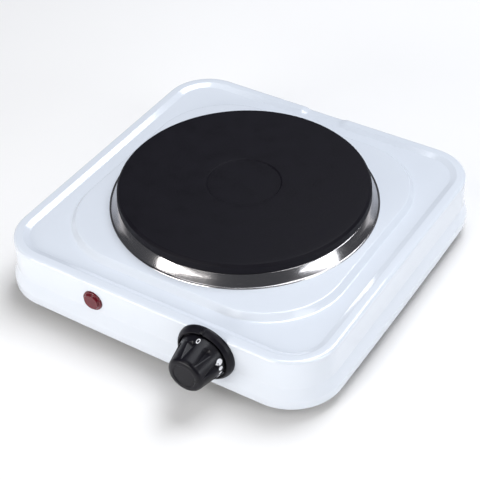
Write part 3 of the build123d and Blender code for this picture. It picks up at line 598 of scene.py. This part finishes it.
def looks():
    """Every finish by its slot in the record."""
    s = settings()
    enamel = tuple(s.housing.tone)
    iron = tuple(s.plate.iron)
    steel = tuple(s.plate.steel)
    plastic = tuple(s.control.plastic)
    lens = tuple(s.lamp.glass)
    return {
        "white_enamel": Look(enamel, tinted(enamel, 0.975), (0.10, 0.16), patch=40, grain=2.2,
                             relief=0.006, coat=0.5, coat_rough=0.04),
        "cast_iron": Look(iron, tinted(iron, 1.7), (0.46, 0.62), patch=14, grain=0.5,
                          relief=0.030, rings=0.7, specks=2.4, specular=0.12),
        "stainless": Look(steel, tinted(steel, 0.86), (0.10, 0.18), patch=30, grain=0.6,
                          relief=0.002, metallic=1.0, rings=0.5),
        "bezel_plastic": Look(plastic, tinted(plastic, 1.8), (0.34, 0.44), patch=4, grain=0.35,
                              relief=0.008, specular=0.17),
        "knob_plastic": Look(plastic, tinted(plastic, 1.5), (0.26, 0.36), patch=6, grain=0.5,
                             relief=0.003, specular=0.19),
        "red_lens": Look(lens, tinted(lens, 0.7), (0.06, 0.12), patch=3, grain=1.0, relief=0.004,
                         coat=0.2, transmission=0.15, specular=0.4),
        "galvanised_steel": metal((0.56, 0.58, 0.60), (0.32, 0.50), patch=9, grain=1.2),
        "zinc_steel": metal((0.62, 0.62, 0.60), (0.24, 0.38), patch=3, grain=0.3),
        "black_rubber": Look((0.016, 0.016, 0.017), (0.030, 0.030, 0.031), (0.66, 0.82), patch=4,
                             grain=0.3, relief=0.02),
        "resistance_wire": metal((0.40, 0.36, 0.32), (0.40, 0.58), patch=2, grain=0.3,
                                 relief=0.03),
        "magnesia": Look((0.62, 0.60, 0.55), (0.50, 0.48, 0.44), (0.84, 0.95), patch=3,
                         grain=0.3, relief=0.08, specks=1.5),
        "steatite": Look((0.74, 0.70, 0.62), (0.66, 0.62, 0.54), (0.38, 0.52), patch=5,
                         grain=0.4, relief=0.01, specks=1.8),
        "plain_brass": metal((0.72, 0.53, 0.24), (0.20, 0.34), patch=3, grain=0.3),
        "spring_steel": metal((0.42, 0.43, 0.47), (0.22, 0.34), patch=5, grain=0.3),
        "silver_contact": metal((0.83, 0.82, 0.79), (0.16, 0.30), patch=1, grain=0.2),
        "bimetal": metal((0.56, 0.47, 0.38), (0.26, 0.40), patch=6, grain=0.4),
        "clear_glass": Look((0.96, 0.97, 0.98), (0.90, 0.92, 0.94), (0.02, 0.05), patch=4,
                            grain=2.0, relief=0.002, transmission=0.95),
        "brown_sleeve": sleeve((0.15, 0.062, 0.028)),
        "blue_sleeve": sleeve((0.03, 0.10, 0.42)),
        "earth_sleeve": Look((0.10, 0.36, 0.06), (0.72, 0.60, 0.04), (0.32, 0.46), patch=4,
                             grain=0.5, relief=0.01),
        "clear_sleeve": Look((0.66, 0.64, 0.58), (0.56, 0.54, 0.48), (0.26, 0.38), patch=3,
                             grain=0.6, relief=0.01),
    }


def relief_height(nodes, grain, look, position):
    """Grain, and for turned pieces the lathe's rings on top of it."""
    if not look.rings:
        return grain["Height"]
    turned = nodes.group(turned_group(), {"Vector": position, "Centre": plate_axis(),
                                          "Rings": 1 / (look.rings * MM)})
    return nodes.maths("ADD", grain["Height"], turned["Mask"])


def new_material(name):
    """A material, with its tree, its shader and the place of a point on the object."""
    material = bpy.data.materials.new(name)
    material.use_nodes = True
    nodes = Nodes(material.node_tree)
    shader = material.node_tree.nodes["Principled BSDF"]
    position = nodes.add("ShaderNodeTexCoord").outputs["Object"]
    return material, nodes, shader, position


def finish(slot):
    """The material of one slot: two tones, a roughness that wanders and a fine relief."""
    name = slot + "_finish"
    if name in bpy.data.materials:
        return bpy.data.materials[name]
    look = looks()[slot]
    material, nodes, shader, position = new_material(name)
    grain = nodes.group(grain_group(), {"Vector": position, "Patches": 1 / (look.patch * MM),
                                        "Grains": 1 / (look.grain * MM)})
    mask = grain["Mask"]
    if look.specks:
        specks = nodes.group(speck_group(), {"Vector": position, "Speck size": SPECK_SHARE,
                                             "Density": 1 / (look.specks * MM)})
        mask = nodes.maths("MAXIMUM", nodes.maths("MULTIPLY", mask, 0.5), specks["Mask"])
    nodes.feed(shader.inputs["Base Color"], nodes.ramp(mask, look.tone, look.shade))
    nodes.feed(shader.inputs["Roughness"], nodes.spread(grain["Mask"], *look.rough))
    bump = nodes.add("ShaderNodeBump", {"Height": relief_height(nodes, grain, look, position),
                                        "Strength": 1.0, "Distance": look.relief * MM})
    nodes.feed(shader.inputs["Normal"], bump.outputs["Normal"])
    shader.inputs["Metallic"].default_value = look.metallic
    shader.inputs["Coat Weight"].default_value = look.shader.get("coat", 0.0)
    shader.inputs["Coat Roughness"].default_value = look.shader.get("coat_rough", 0.03)
    shader.inputs["Transmission Weight"].default_value = look.shader.get("transmission", 0.0)
    shader.inputs["Specular IOR Level"].default_value = look.shader.get("specular", 0.5)
    return material


# ----------------------------------- housing ---------------------------------

def square_ring(half, z, corner, bow):
    """Rounded square about the plate's axis, anticlockwise, with sides that swell by bow."""
    h = settings().housing
    core = half - corner
    quarter = [(half, mix(-core, core, step / h.side_steps), 1.0, 0.0)
               for step in range(h.side_steps)]
    for step in range(h.corner_steps):
        angle = math.pi / 2 * step / h.corner_steps
        along, across = math.cos(angle), math.sin(angle)
        quarter.append((core + corner * along, core + corner * across, along, across))
    ring = []
    for side in range(4):
        spin = Matrix.Rotation(side * math.pi / 2, 2)
        for x, y, normal_x, normal_y in quarter:
            swell = bow * (1 - (min(abs(x), abs(y)) / half) ** 2)
            spot = spin @ Vector((x + normal_x * swell, y + normal_y * swell))
            ring.append(plate_axis() + Vector((*spot, z)))
    return ring


def housing_profile():
    """(half width, height, corner radius, bow) from the plate's hole to the bottom hem."""
    h = settings().housing
    top = box("top_housing")[1].z
    rim = top - h.rim_below_plateau
    panel = rim - h.panel_drop
    bottom = box("top_housing")[0].z
    flare = bottom + h.flange_height
    edge = h.plateau_foot - h.plateau_slope
    inner_rim = h.wall_half - h.rim_width
    floor = inner_rim - h.rim_slope
    flange = h.wall_half + h.flange_out
    band = 6 * MM
    hem = h.hem * 1.4
    points = [
        (edge - band, top, h.plateau_corner - h.plateau_slope - band, 0),
        (edge, top, h.plateau_corner - h.plateau_slope, 0),
        (h.plateau_foot, panel, h.plateau_corner, 0),
        (floor, panel, h.corner - h.rim_width - h.rim_slope, 0),
        (inner_rim, rim, h.corner - h.rim_width, 0),
        (h.wall_half, rim, h.corner, 0),
        (h.wall_half, flare + h.flare_height, h.corner, 0),
        (flange, flare, h.corner + h.flange_out, h.flange_bow),
        (flange, bottom, h.corner + h.flange_out, h.flange_bow),
        (flange - hem, bottom, h.corner + h.flange_out - hem, h.flange_bow),
    ]
    folds = [h.plateau_fold, h.plateau_fold, h.panel_fold, h.panel_fold, h.rim_edge, h.flare_fold,
             h.flare_fold, h.hem]
    return soften(points, folds)


def dipped(point):
    """Sinks the back rim at the drain dip."""
    h = settings().housing
    rim = box("top_housing")[1].z - h.rim_below_plateau
    back = point.y - plate_axis().y
    away = abs(point.x - plate_axis().x - h.dip_place)
    across = 1 - smooth_step(away, h.dip_width / 2 - h.dip_ramp, h.dip_width / 2)
    inside = smooth_step(back, h.wall_half - h.rim_width - h.rim_slope, h.wall_half - h.rim_width)
    wall_reach = 8 * MM
    height = smooth_step(point.z, rim - wall_reach, rim - h.rim_edge)
    return point - Vector((0, 0, h.dip_depth * across * inside * height))


def build_housing():
    h = settings().housing
    profile = housing_profile()
    outline = square_ring(*profile[0])
    hole = settings().plate.neck + h.hole_gap
    hole_band = 4 * MM
    rings = []
    for radius in (hole, hole + hole_band):
        centre = plate_axis()
        arms = [(point - centre).xy.normalized() * radius for point in outline]
        rings.append([centre + Vector((*arm, profile[0][1])) for arm in arms])
    rings += [[dipped(point) for point in square_ring(*station)] for station in profile]
    shell = from_rings("pressed_housing", rings, outward=False)
    solid = shell.modifiers.new("Sheet", "SOLIDIFY")
    solid.thickness = h.sheet
    solid.offset = -1
    solid.use_even_offset = True
    bake_modifiers(shell)
    wall = front_wall()
    knob = on_front_wall("spindle")
    lamp = on_front_wall("indicator_clip")
    gland = middle("cord_gland")
    back = 2 * plate_axis().y - wall
    holes = [drill(knob.x, wall, knob.z, SPINDLE_HOLE),
             drill(lamp.x, wall, lamp.z, settings().lamp.barrel + LAMP_ROOM),
             drill(gland.x, back, gland.z, settings().gland.neck)]
    screw = half_width("control_screws") - SCREW_HEAD
    for side in (-1, 1):
        holes.append(drill(knob.x + side * screw, wall, knob.z, SCREW_HOLE))
    cut_away(shell, holes)
    finish_piece(shell, "housing", "white_enamel", "top_housing")


# ------------------------------- plate and ring ------------------------------

def build_plate():
    p = settings().plate
    low, high = box("hot_plate")
    top, neck_end = high.z, low.z
    radius = half_width("hot_plate")
    web = box("ceramic_filler")[1].z
    stud = half_width("centre_stud")
    recess_slope, neck_wall, pitch = 1.0 * MM, 4 * MM, 6 * MM
    recess_fold, side_fold, neck_fold = 0.35 * MM, 0.4 * MM, 0.6 * MM
    crown = soften([
        (p.recess - recess_slope, top - p.recess_depth), (p.recess, top),
        (radius - p.chamfer, top), (radius, top - p.chamfer), (radius, top - p.side),
        (p.neck, top - p.side), (p.neck, neck_end), (p.neck - neck_wall, neck_end)],
        [recess_fold, p.crown, p.crown, side_fold, side_fold, neck_fold])
    profile = [Vector((0, top - p.recess_depth))] + finer(crown, pitch)
    for groove in reversed(range(p.groove_count)):
        inner = p.first_groove + groove * p.groove_pitch
        outer = inner + p.groove_width
        profile += [(outer, neck_end), (outer, web), (inner, web), (inner, neck_end)]
    hub = p.first_groove - p.hub_wall
    profile += [(hub, neck_end), (hub, web), (p.boss, web), (p.boss, neck_end),
                (stud, neck_end), (stud, web), (0, web)]
    plate = lathe("iron_plate", profile, plate_axis())
    finish_piece(plate, "housing", "cast_iron", "hot_plate")


def build_ring():
    """Spun ring: lip on the plateau, two slopes, ledge under the plate and collar."""
    p = settings().plate
    low, high = box("spill_ring")
    plateau = box("top_housing")[1].z
    sheet = p.ring_sheet
    outer = half_width("spill_ring")
    ledge, foot = high.z, low.z
    side = half_width("hot_plate") + p.ring_gap
    collar = p.neck + p.ring_gap
    edge, step, crisp, lip_fold, crease_fold = 0.15 * MM, 0.5 * MM, 0.3 * MM, 0.9 * MM, 0.8 * MM
    upper = [(outer, plateau + sheet * 0.4), (outer - edge, plateau + sheet),
             (outer - p.ring_lip, plateau + sheet), (p.ring_crease, plateau + p.crease_rise),
             (side, ledge - edge), (side - step, ledge), (collar, ledge), (collar, foot)]
    upper = soften(upper, [edge, lip_fold, crease_fold, crisp, crisp, crisp])
    lower = []
    for index, point in enumerate(upper):
        before = upper[max(index - 1, 0)]
        after = upper[min(index + 1, len(upper) - 1)]
        along = (after - before).xy.normalized()
        lower.append((point.x + along.y * -sheet, point.y + along.x * sheet))
    lower = [(r, max(z, plateau)) for r, z in lower]
    ring = lathe("spun_ring", [point.xy for point in upper] + lower[::-1], plate_axis(),
                 closed=True)
    finish_piece(ring, "housing", "stainless", "spill_ring")


# ------------------------------ control and lamp -----------------------------

def skirt_block():
    """Solid with the outer form of the skirt, to trim what stands against it."""
    h = settings().housing
    block_top = 0.06
    profile = [station for station in housing_profile() if station[0] > h.wall_half]
    profile.insert(0, Vector((h.wall_half, block_top, h.corner, 0)))
    return from_rings("skirt_block", [square_ring(*station) for station in profile], caps=True)


def bezel_shape(radius, height, angle):
    """Adds the index ridge and its notch at 12 o'clock."""
    c = settings().control
    lip_start, lip_end = 0.4 * MM, 1.4 * MM
    notch_flat, notch_foot, notch_reach, notch_depth = 0.5 * MM, 0.9 * MM, 1.0 * MM, 0.9 * MM
    lean = 0.7
    from_top = abs(angle - math.pi / 2) * radius
    ridge = 1 - smooth_step(from_top, c.index_width * 0.36, c.index_width * 0.62)
    rim = smooth_step(radius, c.bezel_bore + lip_start, c.bezel_bore + lip_end)
    lift = c.index_rise * ridge * rim * smooth_step(height, 0, c.bezel_floor)
    notch = (1 - smooth_step(from_top, notch_flat, notch_foot)) * (1 - rim)
    notch *= smooth_step(height, c.bezel_height - notch_reach, c.bezel_height)
    return radius + lift, height + lean * lift - notch_depth * notch


def build_bezel():
    c = settings().control
    outer = half_width("knob_bezel")
    lip = c.bezel_bore + 0.9 * MM
    foot, shoulder, lean, taper, pitch = 1.4 * MM, 3.4 * MM, 0.7 * MM, 0.3 * MM, 1.2 * MM
    folds = [1.5 * MM, 2.2 * MM, 0.5 * MM, 0.35 * MM, 0.4 * MM]
    rise = soften([
        (outer, 0), (outer, foot), (outer - lean, shoulder), (lip, c.bezel_height),
        (c.bezel_bore, c.bezel_height), (c.bezel_bore - taper, c.bezel_floor),
        (SPINDLE_HOLE, c.bezel_floor)], folds)
    profile = [point.xy for point in finer(rise, pitch)] + [Vector((SPINDLE_HOLE, 0))]
    bezel = lathe("index_bezel", profile, on_front_wall("spindle"), FRONT, columns=KNOB_COLUMNS,
                  closed=True, shape=bezel_shape)
    cut_away(bezel, [skirt_block()])
    finish_piece(bezel, "housing", "bezel_plastic", "knob_bezel")


def knob_start():
    """How far the knob's back edge stands in front of the wall."""
    return front_wall() - box("control_knob")[1].y


def knob_end():
    """How far the knob's face stands in front of the wall."""
    return front_wall() - box("control_knob")[0].y


def knob_cone(height):
    """Radius of the knob's skin between the flutes."""
    c = settings().control
    along = (height - knob_start()) / (knob_end() - knob_start())
    return mix(half_width("control_knob"), c.front, along)


def fluted(radius, height, angle):
    """Radius of the knob's skin where the finger flutes cut into it."""
    c = settings().control
    if height <= c.flute_start or radius < c.dish:
        return radius, height
    pitch = 2 * math.pi / c.flutes
    offset = (angle - c.flute_place + pitch / 2) % pitch - pitch / 2
    ramp = max(0.0, (c.flute_start + c.flute_run - height) / c.flute_run)
    clear, round_root, least_spread = 0.5 * MM, 1e-5, 0.2
    top = half_width("control_knob") + clear
    root = mix(top, c.flute_root, math.sqrt(max(0.0, 1 - ramp * ramp)))
    across = math.sqrt(math.sin(offset) ** 2 + round_root)
    spread = math.cos(offset) - across / math.tan(c.flute_angle)
    if spread <= least_spread:
        return radius, height
    return soft_min(radius, root / spread, c.flute_edge), height


def build_knob():
    c = settings().control
    start, end = knob_start(), knob_end()
    base = half_width("control_knob")
    dish_flat, dish_slope, dish_fold, dish_edge, back_edge = (
        1.6 * MM, 0.5 * MM, 0.4 * MM, 0.3 * MM, 0.4 * MM)
    pitch, step, draft, bore_extra = 0.45 * MM, 1 * MM, 3 * MM, 1 * MM
    face = soften([
        (c.dish - dish_flat, end - c.dish_depth), (c.dish - dish_slope, end - c.dish_depth),
        (c.dish, end), (c.front, end), (base, start), (base - c.wall, start)],
        [dish_fold, dish_edge, c.edge, back_edge], steps=KNOB_ARC_STEPS)
    skin = [Vector((0, end - c.dish_depth))] + [point.xy for point in finer(face, pitch)]
    roof = end - c.roof
    inner = c.flute_root - c.wall
    cavity = [
        (base - c.wall, c.flute_start - c.wall), (inner, c.flute_start - c.wall + step),
        (inner - draft, roof), (c.hub, roof), (c.hub, start)]
    bore = [(c.bore, start), (c.bore, roof + bore_extra), (0, roof + bore_extra)]
    profile = skin + cavity + bore

    def shape(radius, height, angle):
        """Cuts the flat into the spindle's bore and the flutes into the skin."""
        if radius == c.bore:
            limit = c.bore_flat / max(math.sin(angle), 0.01)
            return min(c.bore, limit), height
        if radius > inner + 0.01 * MM:
            return fluted(radius, height, angle)
        return radius, height

    knob = lathe("fluted_knob", profile, on_front_wall("spindle"), FRONT, columns=KNOB_COLUMNS,
                 shape=shape)
    finish_piece(knob, "knob", "knob_plastic", "control_knob")


def on_knob(angle, height, lift):
    """Point that stands lift above the knob's skin."""
    radius = fluted(knob_cone(height), height, angle)[0] + lift
    spot = Vector((radius * math.cos(angle), radius * math.sin(angle), height))
    return on_front_wall("spindle") + FRONT @ spot


def mark_ring(clock, wide, tall, scale, lift):
    """Closed oval round a clock angle on the knob's skirt."""
    c = settings().control
    centre = math.pi / 2 - clock
    ring = []
    for step in range(MARK_COLUMNS):
        turn_angle = 2 * math.pi * step / MARK_COLUMNS
        across = wide / 2 * scale * math.cos(turn_angle)
        along = tall / 2 * scale * math.sin(turn_angle)
        ring.append(on_knob(centre - across / knob_cone(c.mark_place), c.mark_place + along, lift))
    return ring


def build_marks():
    """Off mark at 12 o'clock, then dots that shrink as the heat falls."""
    c = settings().control
    lift, sunk = c.mark_lift, -0.15 * MM
    zero = (2.6 * MM, 3.9 * MM)
    inner = 0.64
    rings = [mark_ring(0, *zero, 1.0, sunk), mark_ring(0, *zero, 1.0, lift),
             mark_ring(0, *zero, inner, lift), mark_ring(0, *zero, inner, sunk)]
    marks = [from_rings("off_mark", rings, closed=True)]
    for clock, width in HEAT_DOTS:
        dot = (math.radians(clock), width * MM, width * MM)
        rings = [mark_ring(*dot, scale, lift) for scale in (0, 0.35, 0.7, 1.0)]
        rings += [mark_ring(*dot, scale, sunk) for scale in (1.0, 0.5, 0)]
        marks.append(from_rings("dot", rings))
    joined = bmesh.new()
    for mark in marks:
        joined.from_mesh(mark.data)
        bpy.data.objects.remove(mark)
    mesh = bpy.data.meshes.new("dial_marks")
    joined.to_mesh(mesh)
    joined.free()
    smooth_shading(mesh)
    piece = new_object("dial_marks", mesh)
    piece.data.materials.append(ink())
    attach(piece, "knob")


def ink():
    """White pad-printed ink, slightly broken where it lies thin."""
    material, nodes, shader, position = new_material("dial_ink")
    grain = nodes.group(grain_group(), {"Vector": position, "Patches": 900.0, "Grains": 4000.0})
    white = tuple(settings().control.ink)
    nodes.feed(shader.inputs["Base Color"], nodes.ramp(grain["Mask"], white, tinted(white, 0.9)))
    nodes.feed(shader.inputs["Roughness"], nodes.spread(grain["Mask"], 0.4, 0.55))
    return material


def build_lens():
    s = settings().lamp
    back = box("indicator_lens")[1].y - front_wall()
    radius = half_width("indicator_lens")
    bore = s.barrel - s.barrel_wall
    sunk = s.proud - 0.25 * MM
    floor = s.proud - 1.4 * MM
    edge, folds = 0.35 * MM, [part * MM for part in (0.4, 0.2, 0.3, 0.3, 0.5, 0.1, 0.1)]
    dome = soften([
        (s.face - 1.5 * MM, sunk), (s.face - 0.4 * MM, s.proud - 0.2 * MM),
        (s.face, s.proud), (s.face + edge, s.proud - 0.1 * MM), (s.shoulder, s.flange),
        (radius - edge, s.flange), (radius, 0), (s.barrel, 0), (s.barrel, -back)], folds)
    profile = [Vector((0, sunk))] + [point.xy for point in dome]
    profile += [(bore, -back), (bore, floor), (0, floor)]
    lens = lathe("lamp_lens", profile, on_front_wall("indicator_clip"), FRONT,
                 columns=LENS_COLUMNS)
    finish_piece(lens, "housing", "red_lens", "indicator_lens")


def build_gland():
    """Rubber bush in the rear wall, with a rounded mouth for the cord."""
    g = settings().gland
    low, high = box("cord_gland")
    centre = middle("cord_gland")
    length = high.y - low.y
    inner_face = g.lip + settings().housing.sheet
    inner_flange = g.flange - 1 * MM
    inner_mouth, outer_mouth = 0.6 * MM, 1.2 * MM
    folds = [part * MM for part in (0.4, 0.5, 0.3, 0.1, 0.1, 0.3, 0.9, 0.6)]
    outside = soften([
        (g.bore, inner_mouth), (g.bore + inner_mouth, 0), (g.flange, 0), (g.flange, g.lip),
        (g.neck, g.lip), (g.neck, inner_face), (inner_flange, inner_face),
        (inner_flange, length), (g.bore + outer_mouth, length),
        (g.bore, length - outer_mouth)], folds)
    place = Vector((centre.x, low.y, centre.z))
    gland = lathe("rubber_gland", [point.xy for point in outside], place, BACK,
                  columns=GLAND_COLUMNS, closed=True)
    finish_piece(gland, "housing", "black_rubber", "cord_gland")


def dress_frame():
    """Gives every CAD node that stays the finish of its slot."""
    for part in frame["record"]["subparts"]:
        node = frame["nodes"][part["node"]]
        for material_slot in node.material_slots:
            material_slot.material = finish(part["material_slot"])


# ----------------------------------- studio ----------------------------------

def round_object(azimuth, elevation, distance, centre):
    """Point round the object: azimuth 0 is in front, and 90 degrees on the right."""
    flat = math.cos(elevation) * distance
    return centre + Vector((math.sin(azimuth) * flat, -math.cos(azimuth) * flat,
                            math.sin(elevation) * distance))


def facing(eye, target, roll=0.0):
    """Placement that looks from eye to target."""
    back = (eye - target).normalized()
    right = Vector((0, 0, 1)).cross(back).normalized()
    up = back.cross(right)
    side = right * math.cos(roll) + up * math.sin(roll)
    top = up * math.cos(roll) - right * math.sin(roll)
    return Matrix.LocRotScale(eye, Matrix((side, top, back)).transposed(), None)


def softbox(name, azimuth, elevation, distance, width, height, power, tint):
    """Soft light at azimuth and elevation, aimed at the middle of the object."""
    light = bpy.data.lights.new(name, "AREA")
    light.shape = "RECTANGLE"
    light.size = width
    light.size_y = height
    light.energy = power
    light.color = tint
    lamp = new_object(name, light)
    eye = round_object(math.radians(azimuth), math.radians(elevation), distance, LIGHTS_AIM)
    lamp.matrix_world = facing(eye, LIGHTS_AIM)


def build_floor():
    bm = bmesh.new()
    bmesh.ops.create_grid(bm, x_segments=8, y_segments=8, size=FLOOR_REACH)
    mesh = bpy.data.meshes.new("floor")
    bm.to_mesh(mesh)
    bm.free()
    floor = new_object("floor", mesh)
    material, nodes, shader, position = new_material("floor_paper")
    grain = nodes.group(grain_group(), {"Vector": position, "Patches": 4.0, "Grains": 300.0})
    tone = tuple(settings().studio.floor)
    nodes.feed(shader.inputs["Base Color"], nodes.ramp(grain["Mask"], tone, tinted(tone, 0.99)))
    shader.inputs["Roughness"].default_value = 0.9
    shader.inputs["Specular IOR Level"].default_value = 0.1
    mesh.materials.append(material)
    floor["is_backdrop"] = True


def build_room():
    """Even light from all round."""
    s = settings().studio
    world = bpy.data.worlds.new("room")
    world.use_nodes = True
    background = world.node_tree.nodes["Background"]
    background.inputs["Color"].default_value = (*s.sky, 1)
    background.inputs["Strength"].default_value = s.sky_power
    bpy.context.scene.world = world


def build_camera():
    s = settings().studio
    low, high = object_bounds()
    centre = (low + high) / 2
    target = Vector((centre.x + s.aim[0], centre.y + s.aim[1], s.aim[2]))
    data = bpy.data.cameras.new("camera")
    data.lens = s.lens
    data.sensor_width = SENSOR_WIDTH
    data.clip_end = FAR_CLIP
    camera = new_object("camera", data)
    eye = round_object(s.azimuth, s.elevation, s.distance, target)
    camera.matrix_world = facing(eye, target, s.roll)
    bpy.context.scene.camera = camera


def build_stage():
    build_floor()
    build_room()
    build_camera()
    for light in LIGHTS:
        softbox(*light)
    view = bpy.context.scene.view_settings
    view.view_transform = "Standard"
    view.look = "None"


# --------------------------------- operators ---------------------------------

class HOTPLATE_OT_housing(bpy.types.Operator):
    """Press the white housing with its rim, plateau, flare and hem"""

    bl_idname = "hotplate.housing"
    bl_label = "Housing"

    def execute(self, context):
        build_housing()
        return {"FINISHED"}


class HOTPLATE_OT_plate(bpy.types.Operator):
    """Turn the cast-iron plate and the ring round it"""

    bl_idname = "hotplate.plate"
    bl_label = "Plate and ring"

    def execute(self, context):
        build_plate()
        build_ring()
        return {"FINISHED"}


class HOTPLATE_OT_control(bpy.types.Operator):
    """Make the bezel, the fluted knob and its marks"""

    bl_idname = "hotplate.control"
    bl_label = "Knob and bezel"

    def execute(self, context):
        build_bezel()
        build_knob()
        build_marks()
        return {"FINISHED"}


class HOTPLATE_OT_lamp(bpy.types.Operator):
    """Make the red lens of the indicator lamp"""

    bl_idname = "hotplate.lamp"
    bl_label = "Indicator lamp"

    def execute(self, context):
        build_lens()
        return {"FINISHED"}


class HOTPLATE_OT_gland(bpy.types.Operator):
    """Make the rubber gland in the rear wall"""

    bl_idname = "hotplate.gland"
    bl_label = "Cord gland"

    def execute(self, context):
        build_gland()
        return {"FINISHED"}


class HOTPLATE_OT_finishes(bpy.types.Operator):
    """Give the frame's own pieces, inside and underneath, their finishes"""

    bl_idname = "hotplate.finishes"
    bl_label = "Finishes of the inner pieces"

    def execute(self, context):
        dress_frame()
        return {"FINISHED"}


class HOTPLATE_OT_stage(bpy.types.Operator):
    """Set the floor, the soft lights and the camera"""

    bl_idname = "hotplate.stage"
    bl_label = "Studio"

    def execute(self, context):
        build_stage()
        return {"FINISHED"}


class HOTPLATE_PT_panel(bpy.types.Panel):
    """Lists the pieces of the hot plate and their settings"""

    bl_idname = "HOTPLATE_PT_panel"
    bl_label = "Hot plate"
    bl_space_type = "VIEW_3D"
    bl_region_type = "UI"
    bl_category = "Hot plate"

    def draw(self, context):
        for operator in OPERATORS:
            self.layout.operator(operator.bl_idname)
        for group in ("housing", "plate", "control", "lamp", "gland", "studio"):
            section = self.layout.box()
            section.label(text=group.capitalize())
            values = getattr(context.scene.hot_plate, group)
            for name in values.__annotations__:
                section.prop(values, name)


OPERATORS = (HOTPLATE_OT_finishes, HOTPLATE_OT_housing, HOTPLATE_OT_plate, HOTPLATE_OT_control,
             HOTPLATE_OT_lamp, HOTPLATE_OT_gland, HOTPLATE_OT_stage)
GROUPS = (HousingSettings, PlateSettings, ControlSettings, LampSettings, GlandSettings,
          StudioSettings, HotPlateSettings)
CLASSES = GROUPS + OPERATORS + (HOTPLATE_PT_panel,)


def register():
    for item in CLASSES:
        bpy.utils.register_class(item)
    bpy.types.Scene.hot_plate = PointerProperty(type=HotPlateSettings)


def unregister():
    del bpy.types.Scene.hot_plate
    for item in reversed(CLASSES):
        bpy.utils.unregister_class(item)


def main():
    register()
    bpy.ops.hotplate.finishes()
    bpy.ops.hotplate.housing()
    bpy.ops.hotplate.plate()
    bpy.ops.hotplate.control()
    bpy.ops.hotplate.lamp()
    bpy.ops.hotplate.gland()
    bpy.ops.hotplate.stage()


if __name__ == "__main__":
    main()
